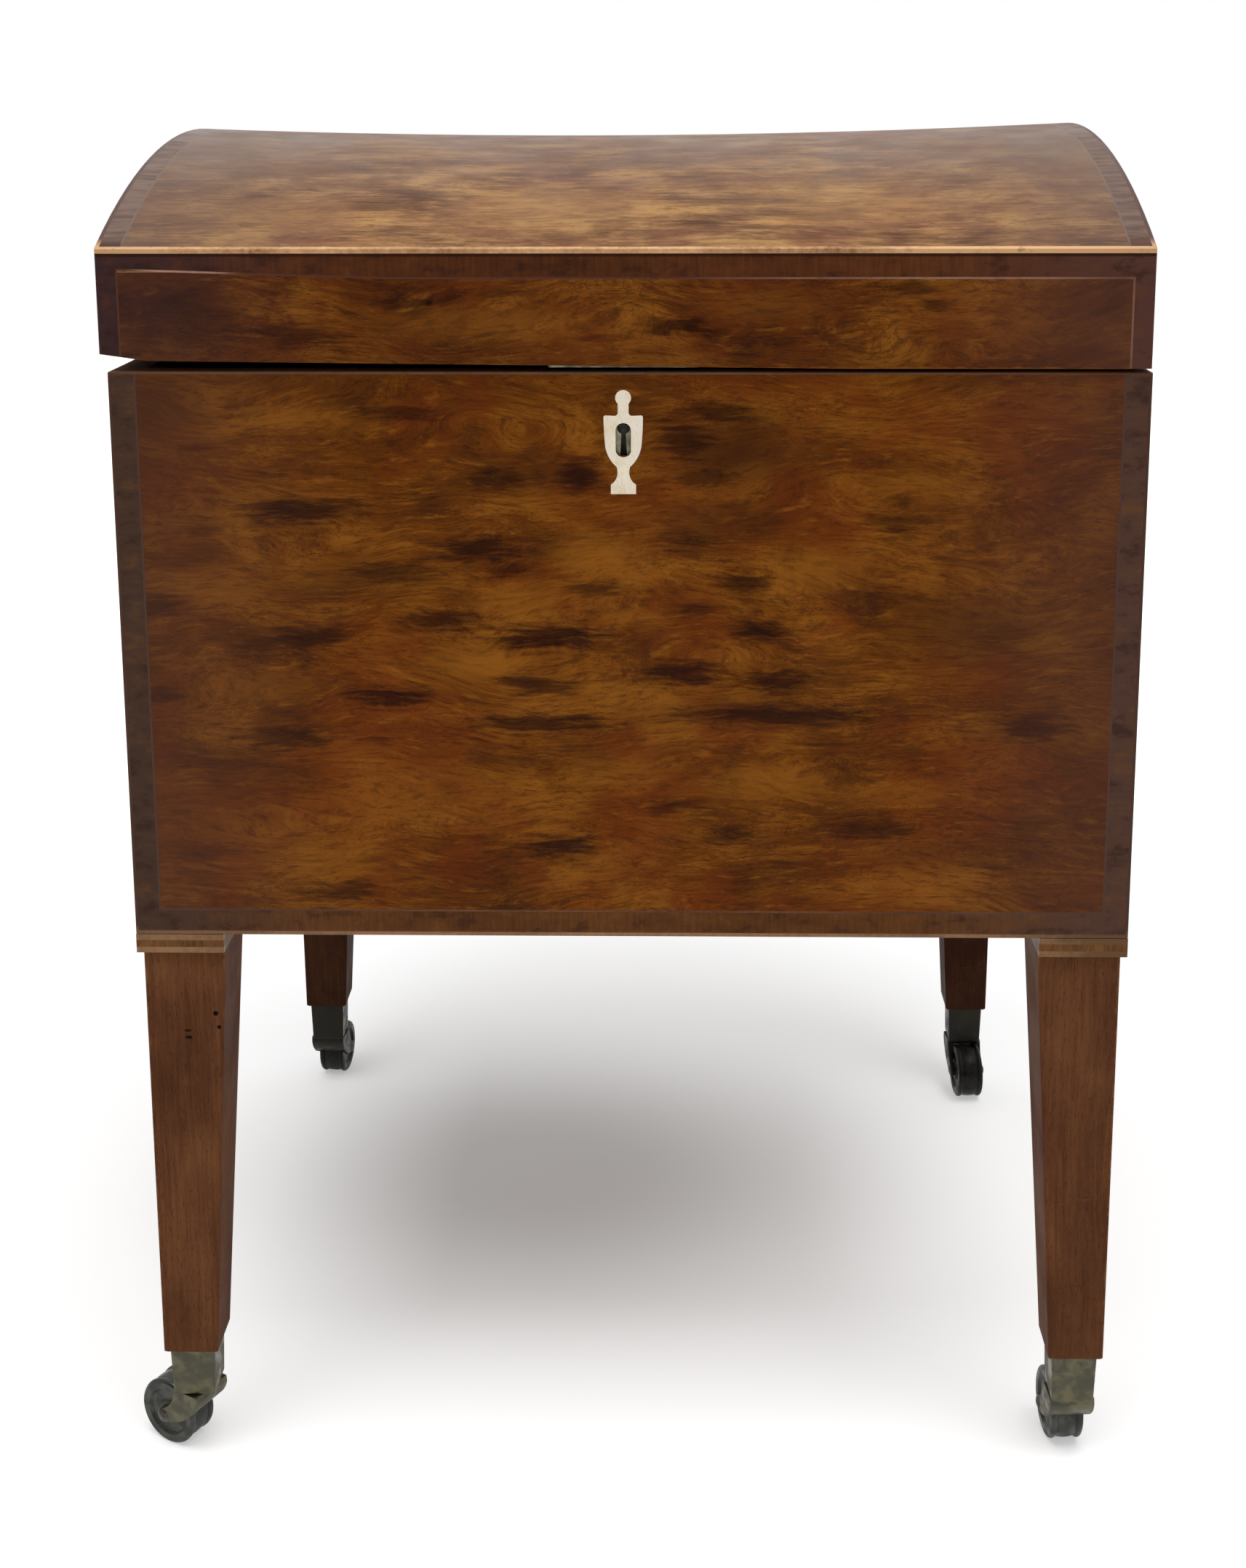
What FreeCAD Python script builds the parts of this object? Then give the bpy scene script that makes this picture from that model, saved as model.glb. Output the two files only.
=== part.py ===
import FreeCAD, Part
import math
import os

import Sketcher
from FreeCAD import Placement, Rotation, Vector

# A cellarette: a domed bottle chest on four square tapered legs with brass box castors.
# +Z is up, the front faces -Y, and the origin is on the floor under the middle of the case.
# Lengths are millimetres.

os.makedirs("parts", exist_ok=True)
doc = FreeCAD.newDocument("cellarette")

DIMENSIONS = [
    ("case_width", 460.0, "case, outside, left to right"),
    ("case_depth", 400.0, "case, outside, front to back"),
    ("case_tall", 264.0, "case without the lid"),
    ("stand_tall", 276.0, "floor to the underside of the case"),
    ("board", 14.0, "thickness of the case and lid boards"),
    ("base_board", 12.0, "thickness of the case bottom"),
    ("seam", 1.6, "gap between case and lid"),
    ("lid_width", 462.0, "lid, left to right"),
    ("lid_depth", 402.0, "lid, front to back"),
    ("lid_shift", -1.8, "the old lid sits a little to the left"),
    ("lid_skirt", 52.4, "straight part of the lid's front"),
    ("lid_warp", 3.6, "how far the warped lid's front left corner stands up from the seam"),
    ("corner_lost", 2.8, "more worn off the lid's lower edge right at that corner"),
    ("dome_rise", 45.2, "dome above the skirt, at its lowest along the ridge"),
    ("dome_sag", 5.0, "how far the ridge has sagged below its ends"),
    ("dome_low_at", -30.0, "where along X the ridge is lowest"),
    ("dome_board", 9.0, "thickness of the domed panel"),
    ("inlay", 1.0, "thickness of crossbanding and inner stringing"),
    ("banding", 10.0, "width of the case's crossbanding"),
    ("lid_banding", 8.9, "width of the lid's crossbanding"),
    ("lid_top_banding", 10.3, "width of the crossbanding under the lid's front edge"),
    ("banding_climb", 3.8, "how much narrower that banding is at its left end"),
    ("banding_taper", 118.0, "length over which it narrows"),
    ("inner_string", 0.9, "width of the inner stringing"),
    ("corner_string", 1.5, "stringing on the case's upright corners"),
    ("base_string", 2.0, "height of the stringing round the case's foot"),
    ("top_string", 1.1, "height of the stringing round the case's rim"),
    ("lid_string", 1.9, "stringing on the lid's front and back edges"),
    ("arch_string", 1.8, "stringing on the arched edges of the lid's ends"),
    ("edge_round", 0.7, "worn roundness of the outer arrises"),
    ("leg_top", 38.3, "side of the leg under the collar"),
    ("leg_foot", 26.2, "side of the leg at the castor"),
    ("leg_inset", 2.5, "leg behind the face of the case"),
    ("collar", 9.0, "height of the collar above each leg"),
    ("collar_string", 2.8, "height of each string on the collar"),
    ("tenon", 20.0, "side of the tenon from leg to case bottom"),
    ("tenon_from", 14.0, "tenon to the leg's outer faces"),
    ("cap_top", 21.6, "side of the castor's box at its mouth"),
    ("cap_foot", 20.2, "side of the castor's box at its floor"),
    ("cap_low", 33.5, "floor level to the underside of the castor's box"),
    ("cap_tall", 24.5, "height of the castor's box"),
    ("cap_floor", 2.5, "thickness of the box's floor"),
    ("foot_tenon", 18.2, "side of the leg's tenon in the castor's box"),
    ("pintle", 3.0, "radius of the castor's pintle"),
    ("pintle_head", 5.0, "radius of the pintle's riveted head"),
    ("running", 0.05, "radial clearance of turning pins"),
    ("free_gap", 0.3, "gap between faces that slide past each other"),
    ("wheel", 16.3, "radius of the castor wheel"),
    ("wheel_width", 16.0, "width of the castor wheel"),
    ("trail", 15.0, "pintle to axle, level"),
    ("cheek", 2.4, "thickness of each cheek of the castor's horn"),
    ("axle", 2.0, "radius of the castor's axle pin"),
    ("leaf", 1.5, "thickness of the hinge leaves"),
    ("hinge_length", 50.0, "length of each hinge"),
    ("hinge_at", 130.0, "middle of each hinge from the middle of the case"),
    ("knuckle", 2.9, "radius of the hinge knuckle"),
    ("hinge_pin", 1.5, "radius of the hinge pin"),
    ("key_x", -2.2, "keyhole from the middle of the case"),
    ("key_drop", 25.6, "rim of the case down to the keyhole's round head"),
    ("urn_drop", 8.0, "rim of the case down to the top of the escutcheon"),
    ("bolt_travel", 5.0, "throw of the lock's bolt"),
    ("partition", 6.0, "thickness of the bottle partitions"),
    ("partition_tall", 170.0, "height of the bottle partitions"),
    ("housing", 3.0, "depth of the housings that hold the partitions"),
    ("lining", 1.2, "thickness of the zinc sheet on the case floor"),
    ("foot_bevel", 1.4, "bevel round the wooden end of each leg"),
]


class Size:
    """A length that holds its value now and its formula over the sheet's cells."""

    def __init__(self, value, formula):
        self.value = value
        self.formula = formula

    def __float__(self):
        return self.value

    def __add__(self, other):
        return Size(self.value + float(other), "(%s + %s)" % (self.formula, formula(other)))

    def __radd__(self, other):
        return self + other

    def __sub__(self, other):
        return Size(self.value - float(other), "(%s - %s)" % (self.formula, formula(other)))

    def __rsub__(self, other):
        return Size(float(other) - self.value, "(%s - %s)" % (formula(other), self.formula))

    def __mul__(self, other):
        return Size(self.value * float(other), "(%s * %s)" % (self.formula, formula(other)))

    def __rmul__(self, other):
        return self * other

    def __truediv__(self, other):
        return Size(self.value / float(other), "(%s / %s)" % (self.formula, formula(other)))

    def __neg__(self):
        return Size(-self.value, "(0 - %s)" % self.formula)

    def root(self):
        return Size(math.sqrt(self.value), "sqrt(%s)" % self.formula)


def formula(length):
    """The text of a length for an expression."""
    return length.formula if isinstance(length, Size) else "(%.9g)" % length


def make_sheet():
    """The spreadsheet of driving dimensions, and one Size for each of its cells."""
    sheet = doc.addObject("Spreadsheet::Sheet", "Dimensions")
    cells = {}
    for row, (alias, value, note) in enumerate(DIMENSIONS, start=1):
        sheet.set("A%d" % row, note)
        sheet.set("B%d" % row, "%.9g" % value)
        sheet.setAlias("B%d" % row, alias)
        cells[alias] = Size(value, "Dimensions." + alias)
    doc.recompute()
    return cells


dim = make_sheet()
nodes = []


def node(item, label):
    """Marks a finished sub-part; its label names its file."""
    item.Label = label
    nodes.append(item)
    return item


# ---------------------------------------------------------------- building blocks


def bind(item, prop, length):
    item.setExpression(prop, formula(length))


def bind_place(item, x, y, z):
    for axis, length in zip("xyz", (x, y, z)):
        bind(item, "Placement.Base." + axis, length)


def block(name, low, high):
    """A rectangular block between two opposite corners."""
    item = doc.addObject("Part::Box", name)
    for prop, near, far in zip(("Length", "Width", "Height"), low, high):
        bind(item, prop, far - near)
    bind_place(item, *low)
    return item


def rod(name, start, axis, radius, length):
    """A round rod from start along one of the axes X, Y or Z."""
    item = doc.addObject("Part::Cylinder", name)
    bind(item, "Radius", radius)
    bind(item, "Height", length)
    item.Placement = Placement(Vector(), Rotation(Vector(0, 0, 1), axis))
    bind_place(item, *start)
    return item


def cut(name, base, *tools):
    """The base with each tool taken away in turn."""
    result = base
    for count, tool in enumerate(tools):
        step = doc.addObject("Part::Cut", "%s_%d" % (name, count))
        step.Base = result
        step.Tool = tool
        result = step
    return result


def overlap(name, first, second):
    item = doc.addObject("Part::Common", name)
    item.Base = first
    item.Tool = second
    return item


def join(name, *items):
    item = doc.addObject("Part::MultiFuse", name)
    item.Shapes = list(items)
    return item


def group(name, *items):
    """Separate solids kept together in one node."""
    item = doc.addObject("Part::Compound", name)
    item.Links = list(items)
    return item


def new_body(name):
    return doc.addObject("PartDesign::Body", name)


def add_sketch(body, name, role, level=0.0):
    """A sketch on one of the body's own planes, moved along that plane's normal."""
    plane = next(item for item in body.Origin.OriginFeatures if item.Role == role)
    sketch = body.newObject("Sketcher::SketchObject", name)
    sketch.AttachmentSupport = [(plane, "")]
    sketch.MapMode = "FlatFace"
    bind(sketch, "AttachmentOffset.Base.z", level)
    return sketch


def fix_point(sketch, index, end, point):
    """Ties a point of a sketch's edge to two lengths from the sketch's origin."""
    for kind, length in zip(("DistanceX", "DistanceY"), point):
        number = sketch.addConstraint(Sketcher.Constraint(kind, -1, 1, index, end, float(length)))
        if isinstance(length, Size):
            bind(sketch, "Constraints[%d]" % number, length)


def line_edge(sketch, start, end):
    points = [Vector(float(u), float(v), 0) for u, v in (start, end)]
    return sketch.addGeometry(Part.LineSegment(*points), False), 1, 2


def arc_edge(sketch, start, end, radius, turn):
    """The short arc between two points; turn is 1 for anticlockwise, -1 for clockwise."""
    first = Vector(float(start[0]), float(start[1]), 0)
    last = Vector(float(end[0]), float(end[1]), 0)
    chord = last - first
    rise = math.sqrt(max(float(radius) ** 2 - (chord.Length / 2) ** 2, 0.0))
    side = Vector(-chord.y, chord.x, 0).normalize()
    centre = (first + last) / 2 + side * (rise * turn)
    angles = [math.atan2(point.y - centre.y, point.x - centre.x) for point in (first, last)]
    if turn < 0:
        angles.reverse()
    if angles[1] < angles[0]:
        angles[1] += 2 * math.pi
    circle = Part.Circle(centre, Vector(0, 0, 1), float(radius))
    index = sketch.addGeometry(Part.ArcOfCircle(circle, *angles), False)
    number = sketch.addConstraint(Sketcher.Constraint("Radius", index, float(radius)))
    if isinstance(radius, Size):
        bind(sketch, "Constraints[%d]" % number, radius)
    return (index, 1, 2) if turn > 0 else (index, 2, 1)


def draw(sketch, outline):
    """A closed outline. Each entry is (u, v) or (u, v, radius, turn) for an arc to that point."""
    edges = []
    for count, entry in enumerate(outline):
        start = outline[count - 1][:2]
        if len(entry) == 2:
            edges.append(line_edge(sketch, start, entry))
        else:
            edges.append(arc_edge(sketch, start, entry[:2], entry[2], entry[3]))
    for count, (index, first, last) in enumerate(edges):
        before, _, before_last = edges[count - 1]
        sketch.addConstraint(Sketcher.Constraint("Coincident", before, before_last, index, first))
        fix_point(sketch, index, last, outline[count][:2])
    return sketch


def draw_ring(sketch, centre, radius):
    circle = Part.Circle(Vector(float(centre[0]), float(centre[1]), 0), Vector(0, 0, 1), float(radius))
    index = sketch.addGeometry(circle, False)
    number = sketch.addConstraint(Sketcher.Constraint("Radius", index, float(radius)))
    if isinstance(radius, Size):
        bind(sketch, "Constraints[%d]" % number, radius)
    fix_point(sketch, index, 3, centre)
    return sketch


def rectangle(low, high):
    return [(low[0], low[1]), (high[0], low[1]), (high[0], high[1]), (low[0], high[1])]


def pad(body, name, sketch, length):
    feature = body.newObject("PartDesign::Pad", name)
    feature.Profile = sketch
    bind(feature, "Length", length)
    return feature


def pocket(body, name, sketch, length, along_normal=False):
    """A pocket; it must take some material away, or the part is wrong."""
    doc.recompute()
    before = body.Shape.Volume
    feature = body.newObject("PartDesign::Pocket", name)
    feature.Profile = sketch
    feature.Reversed = along_normal
    bind(feature, "Length", length)
    doc.recompute()
    if body.Shape.Volume >= before - 1e-6:
        raise RuntimeError(name + " cuts nothing")
    return feature


def slab(name, role, level, outline, thickness):
    """A body that is one outline padded by a thickness along its plane's normal."""
    body = new_body(name)
    pad(body, name + "_pad", draw(add_sketch(body, name + "_outline", role, level), outline), thickness)
    return body


def turned(name, outline, role="XZ_Plane"):
    """A body turned about its own Z axis from an outline of radius and height."""
    body = new_body(name)
    sketch = draw(add_sketch(body, name + "_outline", role), outline)
    feature = body.newObject("PartDesign::Revolution", name + "_turned")
    feature.Profile = sketch
    feature.ReferenceAxis = (sketch, ["V_Axis"])
    feature.Angle = 360.0
    return body


def tapered(name, low, high, low_span, high_span):
    """A square bar planed down to a smaller square at its lower end."""
    near, far = high_span
    profile = [(low_span[0], low), (low_span[1], low), (far, high), (near, high)]
    body = slab(name, "XZ_Plane", -far, profile, far - near)
    for start, end in zip(low_span, high_span):
        if float(start) != float(end):
            sketch = add_sketch(body, "%s_waste_%d" % (name, len(body.Group)), "YZ_Plane", far)
            draw(sketch, [(start, low), (end, high), (end, low)])
            pocket(body, sketch.Name + "_cut", sketch, far - near)
    return body


def dress(body, kind, name, size, is_edge):
    """Works the edges of a body that the test picks out; every one must take."""
    doc.recompute()
    base = body.Tip
    picked = ["Edge%d" % (n + 1) for n, edge in enumerate(base.Shape.Edges) if is_edge(edge)]
    feature = body.newObject("PartDesign::" + kind, name)
    feature.Base = (base, picked)
    bind(feature, "Radius" if kind == "Fillet" else "Size", size)
    doc.recompute()
    if not 0.9 < body.Shape.Volume / base.Shape.Volume < 1.0:
        raise RuntimeError(name + " has spoilt its body")
    return feature


def soften(body, name, radius, is_edge):
    """Rounds some edges of a body."""
    return dress(body, "Fillet", name, radius, is_edge)


def bevel(body, name, size, is_edge):
    """Bevels some edges of a body."""
    return dress(body, "Chamfer", name, size, is_edge)


def is_upright(edge):
    box = edge.BoundBox
    return box.ZLength > 4 * max(box.XLength, box.YLength, 0.01)


# ---------------------------------------------------------------- levels and faces

case_x = dim["case_width"] / 2
case_y = dim["case_depth"] / 2
case_low = dim["stand_tall"]
rim = dim["stand_tall"] + dim["case_tall"]
inside_x = case_x - dim["board"]
inside_y = case_y - dim["board"]
floor_top = case_low + dim["base_board"]
lining_top = floor_top + dim["lining"]

lid_left = dim["lid_shift"] - dim["lid_width"] / 2
lid_right = dim["lid_shift"] + dim["lid_width"] / 2
lid_y = dim["lid_depth"] / 2
lid_low = rim + dim["seam"]
dome_edge = lid_low + dim["lid_skirt"]
above_lid = dome_edge + 2 * dim["dome_rise"]

SIDES = ("left", "right")
CORNERS = {
    "front_left": (-1, -1, 0.0),
    "front_right": (1, -1, 90.0),
    "back_right": (1, 1, 180.0),
    "back_left": (-1, 1, 270.0),
}
X_AXIS = Vector(1, 0, 0)
Y_AXIS = Vector(0, 1, 0)
Z_AXIS = Vector(0, 0, 1)


def face_slab(name, face, outline, thickness, left, right, depth):
    """A slab let into a face: its outer side is flush with the face of a box."""
    place = {
        "front": ("XZ_Plane", depth - thickness),
        "back": ("XZ_Plane", -depth),
        "left": ("YZ_Plane", left),
        "right": ("YZ_Plane", right - thickness),
    }
    role, level = place[face]
    return slab(name, role, level, outline, thickness)


def frame_outlines(low, high, width, sides):
    """Mitred strips of one width along some sides of a rectangle, as outlines."""
    (u0, v0), (u1, v1) = low, high
    in_u0 = u0 + width if "left" in sides else u0
    in_u1 = u1 - width if "right" in sides else u1
    in_v0 = v0 + width if "bottom" in sides else v0
    in_v1 = v1 - width if "top" in sides else v1
    strips = {
        "left": [(u0, v0), (in_u0, in_v0), (in_u0, in_v1), (u0, v1)],
        "right": [(u1, v0), (u1, v1), (in_u1, in_v1), (in_u1, in_v0)],
        "bottom": [(u0, v0), (u1, v0), (in_u1, in_v0), (in_u0, in_v0)],
        "top": [(u0, v1), (in_u0, in_v1), (in_u1, in_v1), (u1, v1)],
    }
    return {side: strips[side] for side in sides}, (in_u0, in_v0), (in_u1, in_v1)


def mitred_board(name, side, left, right, depth, low, high):
    """One wall of a mitred box, as a pad of its plan."""
    t = dim["board"]
    plans = {
        "front": [(left, -depth), (right, -depth), (right - t, t - depth), (left + t, t - depth)],
        "back": [(left, depth), (left + t, depth - t), (right - t, depth - t), (right, depth)],
        "left": [(left, -depth), (left + t, t - depth), (left + t, depth - t), (left, depth)],
        "right": [(right, -depth), (right, depth), (right - t, depth - t), (right - t, t - depth)],
    }
    return slab(name, "XY_Plane", low, plans[side], high - low)


def rounded_envelope(name, left, right, depth, low, high, is_edge):
    """A box with softened arrises; pieces are trimmed to it."""
    plan = rectangle((left, -depth), (right, depth))
    body = slab(name, "XY_Plane", low, plan, high - low)
    soften(body, name + "_soft", dim["edge_round"], is_edge)
    return body


# ---------------------------------------------------------------- the dome


def dome_outline(rise, offset):
    """The section of the space under the dome, or under a parallel arch inside it."""
    radius = (lid_y * lid_y + rise * rise) / (2 * rise)
    centre = dome_edge + rise - radius
    reach = lid_y + 12
    foot = centre + ((radius - offset) * (radius - offset) - reach * reach).root()
    low = lid_low - 20
    return [(-reach, low), (reach, low), (reach, foot), (-reach, foot, radius - offset, 1)]


def dome(name, offset):
    """The space under the dome: lofted, because the ridge sags between its ends."""
    body = new_body(name)
    reach = dim["lid_width"] / 2 + 10
    half = dim["lid_width"] / 2
    sketches = []
    for count, station in enumerate((-reach, dim["dome_low_at"], reach)):
        slump = (station - dim["dome_low_at"]) / half
        rise = dim["dome_rise"] + dim["dome_sag"] * slump * slump
        sketch = add_sketch(body, "%s_section_%d" % (name, count), "YZ_Plane", station)
        sketches.append(draw(sketch, dome_outline(rise, offset)))
    loft = body.newObject("PartDesign::AdditiveLoft", name + "_loft")
    loft.Profile = sketches[0]
    loft.Sections = sketches[1:]
    return body


# ---------------------------------------------------------------- inlays


def case_inlays():
    """Crossbanding, inner stringing and edge stringing of the case, as lists by face."""
    corner = dim["corner_string"]
    low = case_low + dim["base_string"]
    high = rim - dim["top_string"]
    spans = {"front": case_x - corner, "left": case_y - corner, "right": case_y - corner}
    sides = ("left", "bottom", "right")
    banding = []
    inner = []
    for face, reach in spans.items():
        strips, next_low, next_high = frame_outlines((-reach, low), (reach, high), dim["banding"], sides)
        for side, outline in strips.items():
            name = "case_banding_%s_%s" % (face, side)
            banding.append(face_slab(name, face, outline, dim["inlay"], -case_x, case_x, case_y))
        strips, _, _ = frame_outlines(next_low, next_high, dim["inner_string"], sides)
        for side, outline in strips.items():
            name = "case_string_%s_%s" % (face, side)
            inner.append(face_slab(name, face, outline, dim["inlay"], -case_x, case_x, case_y))
    return banding, inner


def ring_strings(name, width, low, high):
    """Four mitred strings round the outside of the case between two levels."""
    sides = ("left", "right", "bottom", "top")
    plans, _, _ = frame_outlines((-case_x, -case_y), (case_x, case_y), width, sides)
    return [slab("%s_%s" % (name, side), "XY_Plane", low, plan, high - low) for side, plan in plans.items()]


def case_edge_strings():
    """Strings let into the case's rim, foot and four upright corners."""
    foot_top = case_low + dim["base_string"]
    rim_low = rim - dim["top_string"]
    strings = ring_strings("foot_string", dim["base_string"], case_low, foot_top)
    strings += ring_strings("rim_string", dim["top_string"], rim_low, rim)
    width = dim["corner_string"]
    for corner, (sign_x, sign_y, _) in CORNERS.items():
        near_x = -case_x if sign_x < 0 else case_x - width
        near_y = -case_y if sign_y < 0 else case_y - width
        low = (near_x, near_y, foot_top)
        strings.append(block("corner_string_" + corner, low, (near_x + width, near_y + width, rim_low)))
    return strings


def lid_front_line(inset, drop, climb):
    """A line up, along and down the lid's front: its foot and head points, left to right."""
    left, right = lid_left + inset, lid_right - inset
    high = dome_edge - dim["lid_string"] - drop
    head = [(left, high), (right, high)]
    if climb:
        head = [(left, high + climb), (left + dim["banding_taper"], high), (right, high)]
    return [(left, lid_low)] + head + [(right, lid_low)]


def strips_between(outer, inner):
    """The mitred strips between two such lines, as outlines."""
    return {
        "left": [outer[0], inner[0], inner[1], outer[1]],
        "top": outer[1:-1] + inner[-2:0:-1],
        "right": [outer[-1], outer[-2], inner[-2], inner[-1]],
    }


def lid_front_inlays():
    """The lid's front: banding and inner string along the top and both sides.

    The banding along the top narrows towards the left, where the lid's edge has been trued up.
    """
    side, top, string = dim["lid_banding"], dim["lid_top_banding"], dim["inner_string"]
    edge = lid_front_line(0.0, 0.0, 0.0)
    line = lid_front_line(side, top, dim["banding_climb"])
    panel = lid_front_line(side + string, top + string, dim["banding_climb"])
    banding = []
    inner = []
    face = (dim["inlay"], lid_left, lid_right, lid_y)
    for side_name, outline in strips_between(edge, line).items():
        banding.append(face_slab("lid_banding_" + side_name, "front", outline, *face))
    for side_name, outline in strips_between(line, panel).items():
        inner.append(face_slab("lid_string_" + side_name, "front", outline, *face))
    return banding, inner


def end_layer(name, side, inset, under):
    """A thin layer on one end of the lid: in from its upright edges and under an arch.

    At the front it starts behind the front's own inlay; at the back it runs to the corner.
    """
    near = lid_left if side == "left" else lid_right - dim["inlay"]
    low = (near, dim["inlay"] + inset - lid_y, lid_low)
    high = (near + dim["inlay"], lid_y - inset, above_lid)
    return overlap(name, block(name + "_block", low, high), under)


def lid_end_inlays(domes, edges):
    """The lid's ends: banding and inner string up the edges and round the arch."""
    banding = []
    inner = []
    width = dim["lid_banding"]
    for side in SIDES:
        name = "lid_end_" + side
        outer = end_layer(name + "_outer", side, 0.0, domes["string"])
        middle = end_layer(name + "_middle", side, width, domes["banding"])
        core = end_layer(name + "_core", side, width + dim["inner_string"], domes["inner"])
        banding.append(cut(name + "_banding", outer, middle, *edges))
        inner.append(cut(name + "_string", middle, core))
    return banding, inner


def dome_strip(name, skin, near, far):
    """A strip of the dome's skin between two planes across the lid, clear of the edge strings."""
    reach = lid_y - dim["lid_string"]
    return overlap(name, skin, block(name + "_block", (near, -reach, lid_low), (far, reach, above_lid)))


def dome_inlays(domes):
    """Banding and inner string across both ends of the dome."""
    skin = cut("dome_skin", domes["top"], domes["inlay"])
    banding = []
    inner = []
    for side in SIDES:
        sign = 1 if side == "left" else -1
        start = lid_left if side == "left" else lid_right
        marks = [start + sign * dim["arch_string"]]
        marks.append(marks[0] + sign * dim["lid_banding"])
        marks.append(marks[1] + sign * dim["inner_string"])
        for strips, (first, last) in ((banding, marks[:2]), (inner, marks[1:])):
            near, far = (first, last) if sign > 0 else (last, first)
            strips.append(dome_strip("dome_strip_%s_%d" % (side, len(strips)), skin, near, far))
    return banding, inner


def lid_edge_strings(domes):
    """Strings on the lid's long edges and on the arched edges of its ends."""
    width = dim["lid_string"]
    strings = []
    for name, near in (("front", -lid_y), ("back", lid_y - width)):
        low = (lid_left, near, dome_edge - width)
        high = (lid_right, near + width, above_lid)
        strings.append(overlap("lid_edge_" + name, domes["top"], block("lid_edge_block_" + name, low, high)))
    arch = cut("arch_shell", domes["top"], domes["string"])
    reach = lid_y - width
    for side in SIDES:
        near = lid_left if side == "left" else lid_right - dim["arch_string"]
        low = (near, -reach, lid_low)
        high = (near + dim["arch_string"], reach, above_lid)
        strings.append(overlap("lid_arch_" + side, arch, block("lid_arch_block_" + side, low, high)))
    return strings


# ---------------------------------------------------------------- fastenings


def screw_blank(name, length):
    """A countersunk slotted screw, head at the origin, pointing down."""
    head, shank, sink = 2.6, 1.3, 1.5
    outline = [
        (0.0, 0.0),
        (head, 0.0),
        (head, -0.2),
        (shank, -sink),
        (shank, 2.0 - length),
        (0.0, -length),
    ]
    body = turned(name, outline)
    slot = draw(add_sketch(body, name + "_slot", "XY_Plane"), rectangle((-3.0, -0.35), (3.0, 0.35)))
    pocket(body, name + "_slot_cut", slot, 0.6)
    return body


def screws(name, label, blank, places, direction):
    """One node of separate screws: copies of a blank, turned to point one way."""
    doc.recompute()
    copies = []
    for count, place in enumerate(places):
        turn = Rotation(-Z_AXIS, direction) * Rotation(Z_AXIS, 35.0 * count + 10.0)
        copy = blank.Shape.Solids[0].copy()
        copy.Placement = Placement(Vector(*[float(length) for length in place]), turn)
        copies.append(copy)
    item = doc.addObject("Part::Feature", name)
    item.Shape = Part.makeCompound(copies)
    item.Placement = Placement()
    return node(item, label)


# ---------------------------------------------------------------- hinges

axis_y = lid_y + dim["free_gap"] + dim["knuckle"]
axis_z = rim + dim["seam"] / 2
leaf_gap = 0.35
SEGMENTS = 5


def segment(side_mid, count, grow):
    """Start and length of one fifth of the hinge, longer or shorter by a margin at inner ends."""
    fifth = dim["hinge_length"] / SEGMENTS
    start = side_mid - dim["hinge_length"] / 2 + count * fifth
    at_start = grow if count > 0 else 0
    at_end = grow if count < SEGMENTS - 1 else 0
    return start - at_start, fifth + at_start + at_end


def hinge_leaf(name, side_mid, low, own, bore):
    """A leaf with its own knuckles, cut away round the other leaf's."""
    near = side_mid - dim["hinge_length"] / 2
    far = side_mid + dim["hinge_length"] / 2
    plate = block(name + "_plate", (near, case_y - dim["board"] + 2.5, low), (far, axis_y, low + dim["leaf"]))
    half_gap = dim["free_gap"] / 2
    knuckles = []
    notches = []
    for count in range(SEGMENTS):
        if count in own:
            start, length = segment(side_mid, count, -half_gap)
            piece = "%s_knuckle_%d" % (name, count)
            knuckles.append(rod(piece, (start, axis_y, axis_z), X_AXIS, dim["knuckle"], length))
        else:
            start, length = segment(side_mid, count, half_gap)
            piece = "%s_notch_%d" % (name, count)
            radius = dim["knuckle"] + dim["free_gap"]
            notches.append(rod(piece, (start, axis_y, axis_z), X_AXIS, radius, length))
    start = near - 1
    hole = rod(name + "_bore", (start, axis_y, axis_z), X_AXIS, bore, dim["hinge_length"] + 2)
    return cut(name + "_cut", join(name + "_whole", plate, *knuckles), hole, *notches)


def screw_places(side_mid, level):
    """Three screws along a leaf."""
    row = case_y - dim["board"] / 2
    step = dim["hinge_length"] * 0.34
    return [(side_mid + step * count, row, level) for count in (-1, 0, 1)]


def hinges(blank):
    """Both hinges; gives back the screws and leaves that the boards are cut for."""
    case_leaf_low = axis_z - leaf_gap - dim["leaf"]
    lid_leaf_low = axis_z + leaf_gap
    mids = {"left": -dim["hinge_at"], "right": dim["hinge_at"]}
    case_places = []
    lid_places = []
    for mid in mids.values():
        case_places += screw_places(mid, case_leaf_low + dim["leaf"])
        lid_places += screw_places(mid, lid_leaf_low)
    case_screws = screws("case_hinge_screws", "hinge_screws_case", blank, case_places, -Z_AXIS)
    lid_screws = screws("lid_hinge_screws", "hinge_screws_lid", blank, lid_places, Z_AXIS)
    case_leaves = []
    lid_leaves = []
    for side, mid in mids.items():
        leaf = hinge_leaf("case_leaf_" + side, mid, case_leaf_low, (0, 2, 4), dim["hinge_pin"])
        case_leaves.append(node(cut("case_leaf_holes_" + side, leaf, case_screws), "hinge_leaf_case_" + side))
        leaf = hinge_leaf("lid_leaf_" + side, mid, lid_leaf_low, (1, 3), dim["hinge_pin"] + dim["running"])
        lid_leaves.append(node(cut("lid_leaf_holes_" + side, leaf, lid_screws), "hinge_leaf_lid_" + side))
        start = mid - dim["hinge_length"] / 2
        pin = rod("pin_" + side, (start, axis_y, axis_z), X_AXIS, dim["hinge_pin"], dim["hinge_length"])
        node(pin, "hinge_pin_" + side)
    return case_screws, lid_screws, case_leaves, lid_leaves


# ---------------------------------------------------------------- lock and escutcheon

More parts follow.
